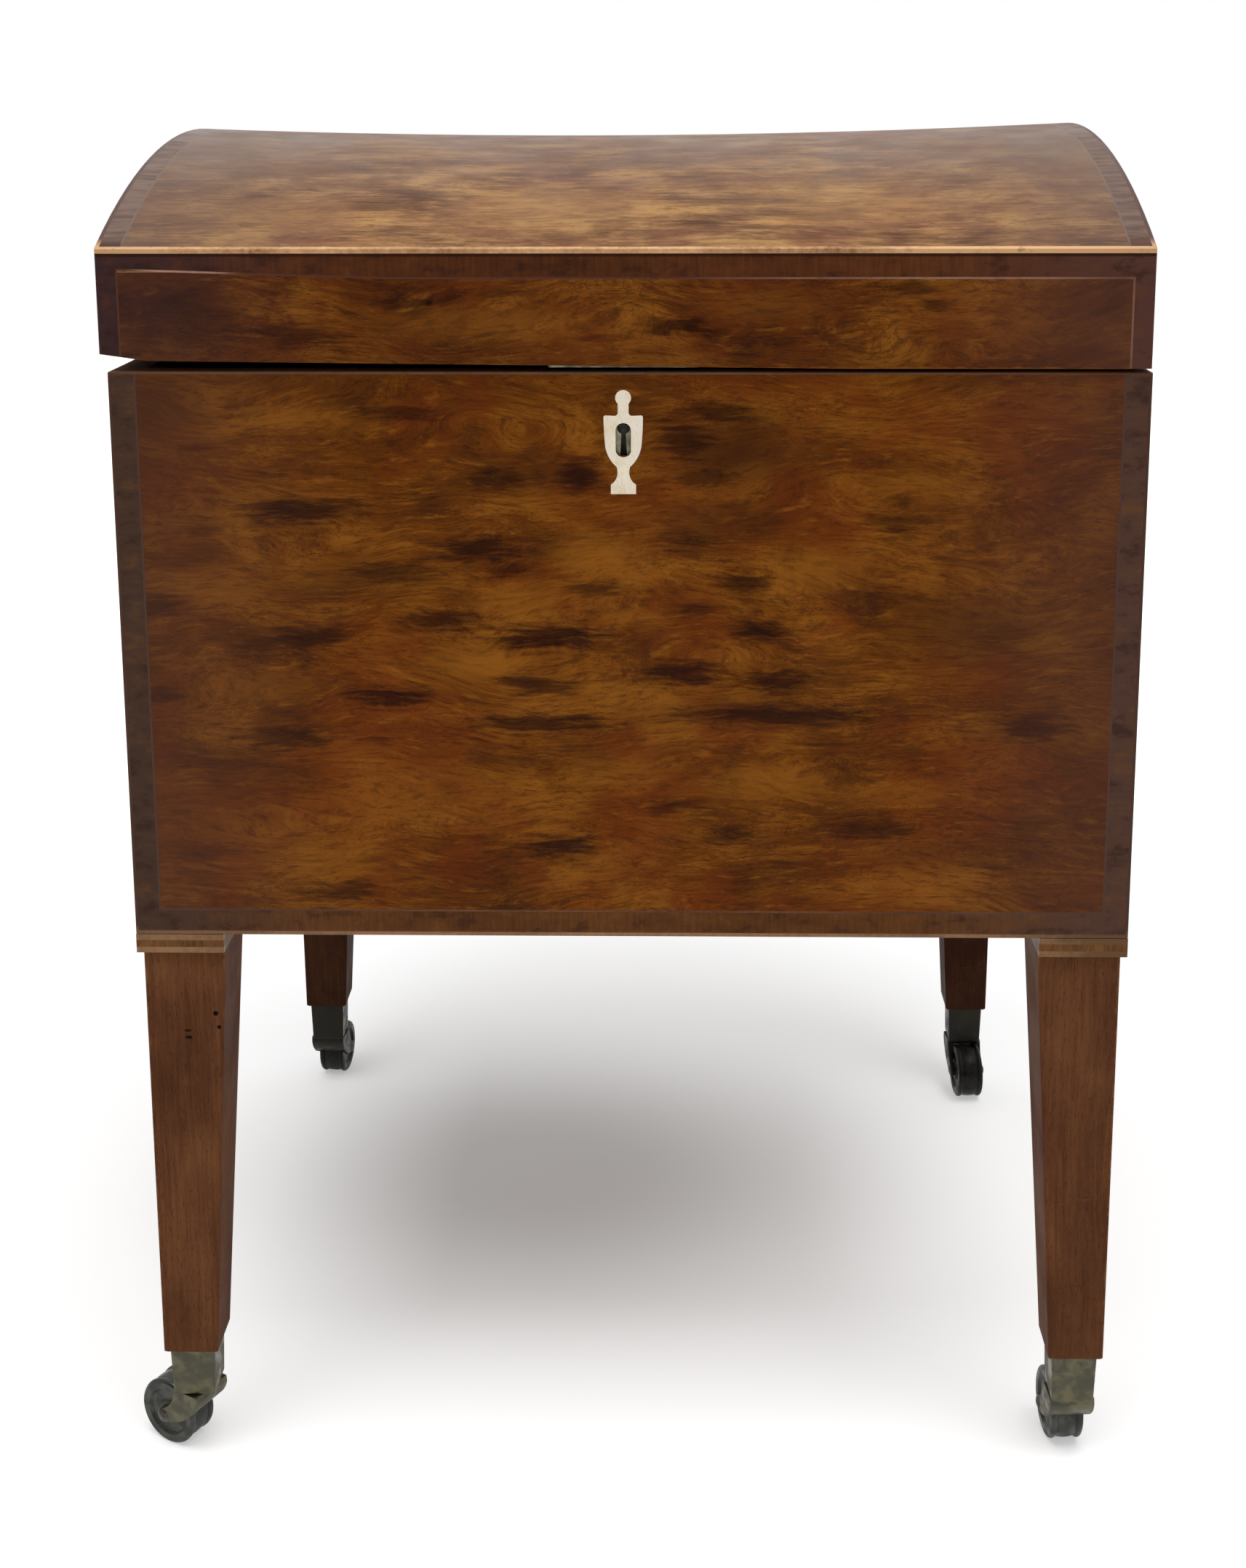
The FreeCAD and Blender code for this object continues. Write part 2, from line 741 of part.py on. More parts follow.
key_x = dim["key_x"]
key_z = rim - dim["key_drop"]
opening_half, opening_above, opening_below = 3.4, 2.9, 12.7
lock_back = dim["board"] - case_y
lock_plate = 1.5
lock_wall = 1.2
lock_front = lock_back - 9.0
lock_low = rim - 40.0
selvedge = 1.8
STAPLES = ((-14.0, -12.0), (14.0, 16.0))
BOLT_POSTS = ((-22.5, -19.5), (5.5, 8.5))
STAPLE_Y = (lock_back - 7.0, lock_back - 2.2)
lock_half, plate_half = 26.5, 33.0
slot_room = 0.6
bar_low = key_z + 4.3
bar_tall = 4.5
tongue_mid = rim - 7.0


def keyhole_outline(head, slot_half, foot_half, drop):
    """A round head with a slot below it that widens to its foot, centred on the key's pin."""
    neck = math.sqrt(head ** 2 - slot_half ** 2)
    return [
        (key_x - foot_half, key_z - drop),
        (key_x + foot_half, key_z - drop),
        (key_x + slot_half, key_z - neck),
        (key_x + head, key_z, head, 1),
        (key_x, key_z + head, head, 1),
        (key_x - head, key_z, head, 1),
        (key_x - slot_half, key_z - neck, head, 1),
    ]


def key_opening():
    """The opening in the escutcheon and the board: a slot with rounded ends."""
    half = opening_half
    top = key_z + opening_above
    bottom = key_z - opening_below
    return [
        (key_x - half, bottom + half),
        (key_x, bottom, half, 1),
        (key_x + half, bottom + half, half, 1),
        (key_x + half, top - half),
        (key_x, top, half, 1),
        (key_x - half, top - half, half, 1),
    ]


def lock_case():
    """The lock's brass box: back plate, hollow box, selvedge with two slots, key pin."""
    low = (key_x - plate_half, lock_back - lock_plate, lock_low - 1)
    plate = block("lock_plate", low, (key_x + plate_half, lock_back, rim))
    top_low = (key_x - plate_half, lock_front - 1.5, rim - selvedge)
    top = block("lock_selvedge", top_low, (key_x + plate_half, lock_back, rim))
    shell_low = (key_x - lock_half, lock_front, lock_low)
    shell = block("lock_shell", shell_low, (key_x + lock_half, lock_back, rim))
    room_low = (key_x - lock_half + lock_wall, lock_front + lock_wall, lock_low + lock_wall)
    room_high = (key_x + lock_half - lock_wall, lock_back - lock_plate, rim - selvedge)
    whole = cut("lock_hollow", join("lock_whole", plate, top, shell), block("lock_room", room_low, room_high))
    slots = []
    for count, (near, far) in enumerate(STAPLES):
        low = (key_x + near - slot_room, STAPLE_Y[0] - 1.0, rim - 4)
        high = (key_x + far + slot_room, STAPLE_Y[1] + slot_room, rim + 1)
        slots.append(block("lock_slot_%d" % count, low, high))
    keyhole = keyhole_outline(head=2.9, slot_half=1.05, foot_half=1.5, drop=12.6)
    hole = slab("lock_keyhole", "XZ_Plane", -lock_front - 3.0, keyhole, 4.0)
    pierced = cut("lock_pierced", whole, hole, *slots)
    pin_from = lock_front + 3.5
    pin = rod("key_pin", (key_x, pin_from, key_z), Y_AXIS, 1.2, lock_back - pin_from)
    ledge_low = (key_x - lock_half + lock_wall, lock_front + lock_wall, bar_low - 1.4)
    ledge = block("bolt_ledge", ledge_low, (key_x - 11.0, lock_back - lock_plate, bar_low - 0.2))
    return join("lock_case_whole", pierced, pin, ledge)


def lock_fixings(blank):
    """Four screws through the lock's back plate."""
    places = []
    for sign in (-1, 1):
        for level in (rim - 8.0, lock_low + 4.0):
            places.append((key_x + sign * (plate_half - 3.2), lock_back, level))
    return screws("lock_fixings", "lock_screws", blank, places, -Y_AXIS)


def lock_bolt():
    """The sliding bolt: a bar with two posts whose tongues enter the lid's staples."""
    near_y, far_y = lock_back - 6.4, lock_back - 2.9
    bar_start, bar_end = BOLT_POSTS[0][0], BOLT_POSTS[1][1]
    bar_high = (key_x + bar_end, far_y, bar_low + bar_tall)
    bar = block("bolt_bar", (key_x + bar_start, near_y, bar_low), bar_high)
    pieces = [bar]
    reach = dim["bolt_travel"] - 0.5
    for count, (near, far) in enumerate(BOLT_POSTS):
        low = (key_x + near, near_y, bar_low)
        pieces.append(block("bolt_post_%d" % count, low, (key_x + far, far_y, rim - 4.5)))
        tongue_low = (key_x + near, near_y + 0.75, tongue_mid - 1.2)
        tongue_high = (key_x + far + reach, far_y - 0.65, tongue_mid + 1.2)
        pieces.append(block("bolt_tongue_%d" % count, tongue_low, tongue_high))
    return join("bolt_whole", *pieces)


def link_plate():
    """The plate on the lid: two staples hang from it into the lock, each with an eye."""
    low = (key_x - plate_half, lock_back - 10.5, lid_low)
    plate = block("link_base", low, (key_x + plate_half, lock_back - 1.5, lid_low + selvedge))
    pieces = [plate]
    eyes = []
    for count, (near, far) in enumerate(STAPLES):
        low = (key_x + near, STAPLE_Y[0], rim - 11.0)
        pieces.append(block("staple_%d" % count, low, (key_x + far, STAPLE_Y[1], lid_low + selvedge)))
        eye_low = (key_x + near - 1, lock_back - 6.05, tongue_mid - 1.7)
        eyes.append(block("eye_%d" % count, eye_low, (key_x + far + 1, lock_back - 3.15, tongue_mid + 1.7)))
    return cut("link_eyed", join("link_whole", *pieces), *eyes)


def urn_outline():
    """An urn with a ball finial, as half outlines mirrored about its middle."""
    top = rim - dim["urn_drop"]
    ball = 3.5
    foot_half, tall = 5.6, 46.7
    # half width, depth below the top, then the radius and turn of the arc that ends there
    half = [
        (2.4, 6.05, ball, -1),
        (2.4, 10.2),
        (3.8, 11.5, 1.5, 1),
        (7.8, 11.3),
        (8.7, 12.2, 0.9, -1),
        (8.1, 24.2, 140.0, -1),
        (3.0, 34.4, 15.0, -1),
        (2.6, 37.5, 8.0, 1),
        (4.8, 41.9, 6.5, 1),
        (foot_half, 42.9, 1.0, -1),
        (foot_half, tall),
    ]
    right = [(key_x + entry[0], top - entry[1]) + tuple(entry[2:]) for entry in half]
    left = []
    for count in range(len(half) - 1, 0, -1):
        u, v = half[count - 1][:2]
        left.append((key_x - u, top - v) + tuple(half[count][2:]))
    return right + [(key_x - foot_half, top - tall)] + left + [(key_x, top, ball, -1)]


def escutcheon():
    """The bone escutcheon, a hair proud of the front, with the key's opening."""
    thick, proud = 1.7, 0.15
    level = case_y + proud - thick
    body = slab("escutcheon", "XZ_Plane", level, urn_outline(), thick)
    sketch = draw(add_sketch(body, "key_opening", "XZ_Plane", level + thick), key_opening())
    pocket(body, "key_opening_cut", sketch, thick)
    return body


# ---------------------------------------------------------------- legs and castors

leg_high = case_low - dim["collar"]
leg_low = dim["cap_low"] + dim["cap_tall"]
foot_mid = dim["leg_foot"] / 2
axle_z = dim["wheel"]
horn_top = dim["cap_low"] - dim["free_gap"]
# where each castor trails to, counted from +X about the upright pintle
TRAIL_ANGLES = {"front_left": 151.0, "front_right": 94.0, "back_right": 274.0, "back_left": 84.0}


def at_corner(item, corner):
    """Turns and moves a body whose own origin is the leg's outer corner on the floor."""
    sign_x, sign_y, angle = CORNERS[corner]
    item.Placement = Placement(Vector(), Rotation(Z_AXIS, angle))
    bind_place(item, sign_x * (case_x - dim["leg_inset"]), sign_y * (case_y - dim["leg_inset"]), 0.0)
    return item


def leg(corner):
    """A square leg that tapers on its two inner faces, with a tenon at each end."""
    name = "leg_" + corner
    body = tapered(name, leg_low, leg_high, (0.0, dim["leg_foot"]), (0.0, dim["leg_top"]))
    bevel(body, name + "_bevel", dim["foot_bevel"], lambda edge: edge.BoundBox.ZMax < float(leg_low) + 0.1)
    soften(body, name + "_soft", dim["edge_round"], is_upright)
    start = (dim["tenon_from"], dim["tenon_from"])
    end = (dim["tenon_from"] + dim["tenon"], dim["tenon_from"] + dim["tenon"])
    top = draw(add_sketch(body, name + "_tenon", "XY_Plane", leg_high - 1), rectangle(start, end))
    pad(body, name + "_tenon_pad", top, floor_top - leg_high + 1)
    half = dim["foot_tenon"] / 2
    tenon_low = dim["cap_low"] + dim["cap_floor"]
    foot = rectangle((foot_mid - half, foot_mid - half), (foot_mid + half, foot_mid + half))
    foot_sketch = draw(add_sketch(body, name + "_foot", "XY_Plane", tenon_low), foot)
    pad(body, name + "_foot_pad", foot_sketch, leg_low - tenon_low + 1)
    recess = add_sketch(body, name + "_recess", "XY_Plane", tenon_low)
    draw_ring(recess, (foot_mid, foot_mid), dim["pintle_head"] + 0.8)
    pocket(body, name + "_recess_cut", recess, 2.4, along_normal=True)
    return at_corner(body, corner)


def collar_plan(width):
    """The outer faces of a collar as an L of some width."""
    near = -dim["leg_inset"]
    far = dim["leg_top"]
    inner = near + width
    return [(near, near), (far, near), (far, inner), (inner, inner), (inner, far), (near, far)]


def collar_strings(corner):
    """Two strings let into the outer edges of a collar."""
    strings = []
    width = dim["collar_string"]
    for place, low in (("low", leg_high), ("high", case_low - width)):
        name = "collar_string_%s_%s" % (place, corner)
        strings.append(at_corner(slab(name, "XY_Plane", low, collar_plan(width), width), corner))
    return strings


def collar(corner, strings):
    """The block between a leg and the case, pierced for the leg's tenon."""
    name = "collar_" + corner
    near = -dim["leg_inset"]
    plan = rectangle((near, near), (dim["leg_top"], dim["leg_top"]))
    body = slab(name, "XY_Plane", leg_high, plan, dim["collar"])
    start = (dim["tenon_from"], dim["tenon_from"])
    end = (dim["tenon_from"] + dim["tenon"], dim["tenon_from"] + dim["tenon"])
    hole = draw(add_sketch(body, name + "_mortise", "XY_Plane", case_low), rectangle(start, end))
    pocket(body, name + "_mortise_cut", hole, dim["collar"])
    return cut(name + "_rebated", at_corner(body, corner), *strings)


def castor_cap(corner):
    """The castor's square brass box, open at the top for the leg's tenon."""
    name = "cap_" + corner
    spans = [(foot_mid - side / 2, foot_mid + side / 2) for side in (dim["cap_foot"], dim["cap_top"])]
    body = tapered(name, dim["cap_low"], leg_low, *spans)
    below_mouth = float(leg_low) - 1
    soften(body, name + "_soft", 1.0, lambda edge: is_upright(edge) or edge.BoundBox.ZMax < below_mouth)
    half = dim["foot_tenon"] / 2
    mouth = rectangle((foot_mid - half, foot_mid - half), (foot_mid + half, foot_mid + half))
    mouth_sketch = draw(add_sketch(body, name + "_mouth", "XY_Plane", leg_low), mouth)
    pocket(body, name + "_mouth_cut", mouth_sketch, dim["cap_tall"] - dim["cap_floor"])
    bore = add_sketch(body, name + "_bore", "XY_Plane", leg_low)
    draw_ring(bore, (foot_mid, foot_mid), dim["pintle"] + dim["running"])
    pocket(body, name + "_bore_cut", bore, dim["cap_tall"] + 1)
    return at_corner(body, corner)


def castor_place(corner, forward, height, turn):
    """Where a castor's turning piece stands: ahead of its pintle along the trail."""
    sign_x, sign_y, _ = CORNERS[corner]
    angle = math.radians(TRAIL_ANGLES[corner])
    pintle_x = sign_x * (case_x - dim["leg_inset"] - foot_mid)
    pintle_y = sign_y * (case_y - dim["leg_inset"] - foot_mid)
    x = pintle_x + forward * math.cos(angle)
    y = pintle_y + forward * math.sin(angle)
    return (x, y, height), Rotation(Z_AXIS, TRAIL_ANGLES[corner]) * turn


def place_castor(item, corner, forward, height, turn):
    where, rotation = castor_place(corner, forward, height, turn)
    item.Placement = Placement(Vector(), rotation)
    bind_place(item, *where)
    return item


def horn(corner):
    """The swivelling horn: a crown with a riveted pintle and two cheeks that hold the axle."""
    name = "horn_" + corner
    body = new_body(name)
    gap = 0.4
    inner = dim["wheel_width"] / 2 + gap
    outer = inner + dim["cheek"]
    eye = 3.6
    eye_side = eye / math.sqrt(2)
    ahead = dim["trail"]
    outline = [
        (-7.6, horn_top),
        (-8.0, horn_top - 3.0),
        (-4.0, axle_z + 6.5, 14.0, 1),
        (ahead - eye_side, axle_z - eye_side, 30.0, 1),
        (ahead, axle_z - eye, eye, 1),
        (ahead + eye, axle_z, eye, 1),
        (ahead + eye_side, axle_z + eye_side, eye, 1),
        (7.2, horn_top - 1.5, 15.0, -1),
        (6.2, horn_top),
    ]
    profile = draw(add_sketch(body, name + "_profile", "XZ_Plane", -outer), outline)
    pad(body, name + "_pad", profile, 2 * outer)
    room = add_sketch(body, name + "_room", "XZ_Plane", inner)
    draw_ring(room, (ahead, axle_z), dim["wheel"] + 1.0)
    pocket(body, name + "_room_cut", room, 2 * inner)
    hole = add_sketch(body, name + "_axle", "XZ_Plane", outer)
    draw_ring(hole, (ahead, axle_z), dim["axle"])
    pocket(body, name + "_axle_cut", hole, 2 * outer)
    stem = add_sketch(body, name + "_stem", "XY_Plane", horn_top - 1)
    draw_ring(stem, (0.0, 0.0), dim["pintle"])
    head_low = dim["cap_low"] + dim["cap_floor"] + dim["free_gap"]
    pad(body, name + "_stem_pad", stem, head_low - horn_top + 1.5)
    head = add_sketch(body, name + "_head", "XY_Plane", head_low)
    draw_ring(head, (0.0, 0.0), dim["pintle_head"])
    pad(body, name + "_head_pad", head, 1.5)
    return place_castor(body, corner, 0.0, 0.0, Rotation())


ON_AXLE = Rotation(X_AXIS, 90.0)


def wheel(corner):
    """The brass wheel: crowned tread, dished sides, a hub bored for the axle."""
    half = dim["wheel_width"] / 2
    crown = 0.6
    tread_half = 4.7
    shoulder = dim["wheel"] - crown
    tread = (tread_half ** 2 + crown ** 2) / (2 * crown)
    dish = 1.2
    outline = [
        (dim["axle"] + dim["running"], -half),
        (5.2, -half),
        (6.2, dish - half),
        (11.0, dish - half),
        (12.0, -half),
        (shoulder - 1.4, -half),
        (shoulder, -tread_half, 1.8, 1),
        (dim["wheel"], 0.0, tread, 1),
        (shoulder, tread_half, tread, 1),
        (shoulder - 1.4, half, 1.8, 1),
        (12.0, half),
        (11.0, half - dish),
        (6.2, half - dish),
        (5.2, half),
        (dim["axle"] + dim["running"], half),
    ]
    body = turned("wheel_" + corner, outline)
    return place_castor(body, corner, dim["trail"], axle_z, ON_AXLE)


def axle_pin(corner):
    """The axle, riveted over a domed head at each end."""
    half = dim["wheel_width"] / 2 + 0.4 + dim["cheek"]
    head, dome_tall = 3.3, 1.0
    bow = (head ** 2 + dome_tall ** 2) / (2 * dome_tall)
    outline = [
        (0.0, -half - dome_tall),
        (head, -half, bow, 1),
        (dim["axle"], -half),
        (dim["axle"], half),
        (head, half),
        (0.0, half + dome_tall, bow, 1),
    ]
    body = turned("axle_" + corner, outline)
    return place_castor(body, corner, dim["trail"], axle_z, ON_AXLE)


# ---------------------------------------------------------------- bottle divisions


def partitions():
    """Two long and two cross partitions, halved together and housed in the walls."""
    low = lining_top
    high = low + dim["partition_tall"]
    middle = low + dim["partition_tall"] / 2
    half = dim["partition"] / 2
    at_y = inside_y / 3
    at_x = inside_x / 3
    long_x = inside_x + dim["housing"]
    long_y = inside_y + dim["housing"]
    boards = []
    for word, sign in (("front", -1), ("back", 1)):
        name = "partition_" + word
        near = (-long_x, sign * at_y - half, low)
        board = block(name, near, (long_x, sign * at_y + half, high))
        notches = []
        for count, cross in enumerate((-1, 1)):
            start = (cross * at_x - half, sign * at_y - half, middle)
            end = (cross * at_x + half, sign * at_y + half, high)
            notches.append(block("%s_notch_%d" % (name, count), start, end))
        boards.append(node(cut(name + "_halved", board, *notches), "partition_long_" + word))
    for word, sign in (("left", -1), ("right", 1)):
        name = "partition_" + word
        near = (sign * at_x - half, -long_y, low)
        board = block(name, near, (sign * at_x + half, long_y, high))
        notches = []
        for count, cross in enumerate((-1, 1)):
            start = (sign * at_x - half, cross * at_y - half, low)
            end = (sign * at_x + half, cross * at_y + half, middle)
            notches.append(block("%s_notch_%d" % (name, count), start, end))
        boards.append(node(cut(name + "_halved", board, *notches), "partition_cross_" + word))
    return boards


# ---------------------------------------------------------------- assembly


def build_stand():
    """Legs, collars, castors; gives back the legs, which the case bottom is mortised for."""
    legs = []
    strings = []
    for corner in CORNERS:
        legs.append(node(leg(corner), "leg_" + corner))
        own = collar_strings(corner)
        strings += own
        node(collar(corner, own), "leg_collar_" + corner)
        node(castor_cap(corner), "castor_cap_" + corner)
        node(horn(corner), "castor_horn_" + corner)
        node(wheel(corner), "castor_wheel_" + corner)
        node(axle_pin(corner), "castor_axle_" + corner)
    node(group("collar_strings", *strings), "collar_stringing")
    return legs


def trimmed(name, items, envelope):
    """One node of inlay strips trimmed to the softened envelope."""
    return [overlap("%s_%d" % (name, count), item, envelope) for count, item in enumerate(items)]


def build_case(legs, boards, case_screws, case_leaves, plate_blank):
    """The mitred case with its inlays, lock, escutcheon and floor."""
    envelope = rounded_envelope("case_envelope", -case_x, case_x, case_y, case_low, rim, lambda edge: True)
    banding, inner = case_inlays()
    edge = trimmed("case_edge_string", case_edge_strings(), envelope)
    edge = [clear_of("case_edge_string_fit_%d" % count, item, case_leaves) for count, item in enumerate(edge)]
    node(group("case_banding", *banding), "case_crossbanding")
    node(group("case_inner", *inner), "case_inner_stringing")
    node(group("case_edge", *edge), "case_edge_stringing")
    plaque = node(escutcheon(), "escutcheon")
    lock_fix = lock_fixings(plate_blank)
    lock = node(cut("lock_case_holed", lock_case(), lock_fix), "lock_case")
    node(lock_bolt(), "lock_bolt")
    mortise_low = (key_x - lock_half, lock_front, lock_low)
    mortise = block("lock_mortise", mortise_low, (key_x + lock_half, lock_back + 1, rim + 1))
    passage = slab("key_passage", "XZ_Plane", -lock_front - 1, key_opening(), 10.0)
    inlays = banding + inner + edge
    extra = {
        "front": [plaque, mortise, lock, passage, lock_fix, boards[2], boards[3]],
        "back": case_leaves + [case_screws, boards[2], boards[3]],
        "left": [boards[0], boards[1]],
        "right": [boards[0], boards[1]],
    }
    for side, tools in extra.items():
        wall = mitred_board("case_wall_" + side, side, -case_x, case_x, case_y, case_low, rim)
        wall = overlap("case_wall_soft_" + side, wall, envelope)
        node(clear_of("case_" + side, wall, inlays + tools), "case_" + side)
    low = (-inside_x, -inside_y, case_low)
    base = block("case_base", low, (inside_x, inside_y, floor_top))
    node(cut("case_base_mortised", base, *legs), "case_bottom")
    sheet = block("floor_sheet", (-inside_x, -inside_y, floor_top), (inside_x, inside_y, lining_top))
    node(sheet, "floor_lining")


def touches(item, other):
    """Whether two objects' shapes share any volume."""
    doc.recompute([item, other])
    if not item.Shape.BoundBox.intersect(other.Shape.BoundBox):
        return False
    return item.Shape.common(other.Shape).Volume > 1e-6


def clear_of(name, item, tools):
    """The item with those tools cut away that reach it."""
    return cut(name, item, *[tool for tool in tools if touches(item, tool)])


def corner_wedge(name, along_front, along_side, rise):
    """A wedge under the lid's front left corner: how far it runs along both edges, and its rise."""
    corner = Vector(float(lid_left), -float(lid_y), float(lid_low))
    front = corner + Vector(along_front, 0, 0)
    side = corner + Vector(0, along_side, 0)
    crease = (side - front).normalize()
    slope = (corner + Vector(0, 0, float(rise)) - front)
    normal = crease.cross(slope).normalize()
    if normal.z < 0:
        normal = -normal
    uphill = crease.cross(normal)
    if uphill.dot(corner - front) < 0:
        uphill = -uphill
        crease = -crease
    long, wide, deep = 1200.0, 700.0, 30.0
    tool = doc.addObject("Part::Box", name)
    tool.Length = wide
    tool.Width = long
    tool.Height = deep
    turn = Rotation(uphill, normal.cross(uphill), normal, "ZXY")
    start = front - normal.cross(uphill) * (long / 2) - normal * deep
    tool.Placement = Placement(start, turn)
    return tool


def lid_wedges():
    """What the warped and worn lower edge of the lid has lost: a long wedge and a short one."""
    warp = corner_wedge("lid_warp_wedge", 330.0, 300.0, dim["lid_warp"])
    worn = corner_wedge("lid_corner_wedge", 44.0, 70.0, dim["lid_warp"] + dim["corner_lost"])
    return [warp, worn]


def build_lid(lid_screws, lid_leaves, blank):
    """The lid: four mitred walls, a domed panel, and inlays let into them."""
    domes = {
        "top": dome("dome_top", 0.0),
        "inlay": dome("dome_inlay", dim["inlay"]),
        "string": dome("dome_string", dim["arch_string"]),
        "panel": dome("dome_panel", dim["dome_board"]),
        "banding": dome("dome_banding", dim["arch_string"] + dim["lid_banding"]),
        "inner": dome("dome_inner", dim["arch_string"] + dim["lid_banding"] + dim["inner_string"]),
    }
    envelope = rounded_envelope("lid_envelope", lid_left, lid_right, lid_y, lid_low, above_lid, is_upright)
    wedges = lid_wedges()
    edges = lid_edge_strings(domes)
    banding, inner = lid_front_inlays()
    for more_banding, more_inner in (lid_end_inlays(domes, edges[:2]), dome_inlays(domes)):
        banding += more_banding
        inner += more_inner
    groups = {
        "lid_crossbanding": banding,
        "lid_inner_stringing": inner,
        "lid_edge_stringing": edges,
    }
    inlays = []
    for label, strips in groups.items():
        strips = trimmed(label + "_strip", strips, envelope)
        strips = [clear_of(strip.Name + "_fit", strip, wedges) for strip in strips]
        inlays += strips
        node(group(label + "_group", *strips), label)
    link = link_plate()
    places = [(key_x + sign * 27.0, lock_back - 6.0, lid_low) for sign in (-1, 1)]
    link_fix = screws("link_fixings", "link_plate_screws", blank, places, Z_AXIS)
    link = node(cut("link_holed", link, link_fix), "link_plate")
    extra = {"front": [link, link_fix], "back": lid_leaves + [lid_screws], "left": [], "right": []}
    for side, tools in extra.items():
        wall = mitred_board("lid_wall_" + side, side, lid_left, lid_right, lid_y, lid_low, above_lid)
        wall = overlap("lid_wall_arched_" + side, wall, domes["panel"])
        wall = overlap("lid_wall_soft_" + side, wall, envelope)
        node(clear_of("lid_" + side, wall, inlays + tools + wedges), "lid_" + side)
    shell = cut("lid_shell", domes["top"], domes["panel"])
    shell = overlap("lid_shell_soft", shell, envelope)
    node(clear_of("lid_top", shell, inlays), "lid_top")


def check_document():
    """Stops if anything in the document failed, or a sub-part isn't a sound solid."""
    doc.recompute()
    for item in doc.Objects:
        if "Invalid" in item.State or "Error" in item.State:
            raise RuntimeError("%s failed: %s" % (item.Name, item.State))
    for item in nodes:
        if item.Shape.isNull() or not item.Shape.isValid() or not item.Shape.Solids:
            raise RuntimeError(item.Label + " isn't a valid solid")


def write_parts():
    """One STEP file for each sub-part."""
    for item in nodes:
        item.Shape.exportStep("parts/%s.step" % item.Label)
        box = item.Shape.BoundBox
        print("%-26s solids %2d  volume %10.1f  z %7.2f to %7.2f" % (
            item.Label, len(item.Shape.Solids), item.Shape.Volume, box.ZMin, box.ZMax))


def main():
    long_screw = screw_blank("hinge_screw", 11.0)
    short_screw = screw_blank("lock_screw", 8.0)
    legs = build_stand()
    boards = partitions()
    case_screws, lid_screws, case_leaves, lid_leaves = hinges(long_screw)
    build_case(legs, boards, case_screws, case_leaves, short_screw)
    build_lid(lid_screws, lid_leaves, short_screw)
    check_document()
    write_parts()


main()
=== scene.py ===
# %% [markdown]
# # A cellarette on castors
#
# A cellarette is a small chest for wine and spirit bottles. This one is
# veneered in plum-pudding mahogany, a figure with dark lens-shaped marks,
# and stands on four tapered legs with brass castors. Its lid has a low
# dome. Thin strings of light wood line its edges, darker cross-grained
# bands frame its front, and a bone urn frames the keyhole.
#
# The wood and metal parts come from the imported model, already in place.
# What this lesson adds is their finish: how old, waxed, handled wood looks,
# and how brass looks after two centuries near the floor.

import math

import bpy
from mathutils import Matrix, Vector


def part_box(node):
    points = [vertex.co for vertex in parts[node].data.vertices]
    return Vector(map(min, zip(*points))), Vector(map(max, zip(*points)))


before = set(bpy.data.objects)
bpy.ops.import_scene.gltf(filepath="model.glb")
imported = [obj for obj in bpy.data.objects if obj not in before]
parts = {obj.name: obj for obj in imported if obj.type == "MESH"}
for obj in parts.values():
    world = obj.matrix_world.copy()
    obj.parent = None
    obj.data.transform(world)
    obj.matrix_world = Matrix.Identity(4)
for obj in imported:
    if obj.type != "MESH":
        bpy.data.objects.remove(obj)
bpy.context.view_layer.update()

# %% [markdown]
# ## The eye
#
# A camera could be aimed by hand until the picture looks right. Here its
# place is stated as a photographer would measure it: how far the lens is
# from the chest, how high above the floor, and how far it tips down. A view
# camera can also slide its film, which keeps the chest large in the frame
# without tipping the lens further. That slide is the shift.

# %% Camera
IMAGE_WIDTH, IMAGE_HEIGHT = 1713, 2156
focal_pixels = 2683.1
lens_axis = (892.3, 623.7)
eye = Vector((0.0227, -1.0500, 0.6574))
tip_down, turn_left, lean = 0.1790, 0.0159, -0.0018

sight = Vector((
    -math.sin(turn_left) * math.cos(tip_down),
    math.cos(turn_left) * math.cos(tip_down),
    -math.sin(tip_down),
))
level = Vector((math.cos(turn_left), math.sin(turn_left), 0))
above = level.cross(sight)
right = math.cos(lean) * level + math.sin(lean) * above
up = math.cos(lean) * above - math.sin(lean) * level

lens = bpy.data.cameras.new("camera")
lens.sensor_width = 36
lens.lens = lens.sensor_width * focal_pixels / IMAGE_HEIGHT
lens.shift_x = (IMAGE_WIDTH / 2 - lens_axis[0]) / IMAGE_HEIGHT
lens.shift_y = (lens_axis[1] - IMAGE_HEIGHT / 2) / IMAGE_HEIGHT
camera = bpy.data.objects.new("camera", lens)
camera.matrix_world = Matrix.Translation(eye) @ Matrix((right, up, -sight)).transposed().to_4x4()
bpy.context.scene.collection.objects.link(camera)
bpy.context.scene.camera = camera
print("lens %.1f mm, shift %.3f %.3f" % (lens.lens, lens.shift_x, lens.shift_y))

# %% [markdown]
# ## Wiring shader nodes with few words
#
# Blender's shader nodes can be placed by hand or by code. In code each node
# takes several lines, which hides what the finish does. The small class
# below wraps one node tree, so that a noise, a blend or a sum is one short
# call. Any input may be a plain number, another node's output, or a colour
# of three numbers from 0 to 255. A group is made once, under a name, and
# placed in every tree that needs it.

# %% A short hand for shader nodes
def tone(red, green, blue):
    """A colour given as 0 to 255 on screen, as the linear light Blender wants."""
    linear = []
    for part in (red, green, blue):
        part /= 255
        linear.append(part / 12.92 if part <= 0.04045 else ((part + 0.055) / 1.055) ** 2.4)
    return (*linear, 1.0)


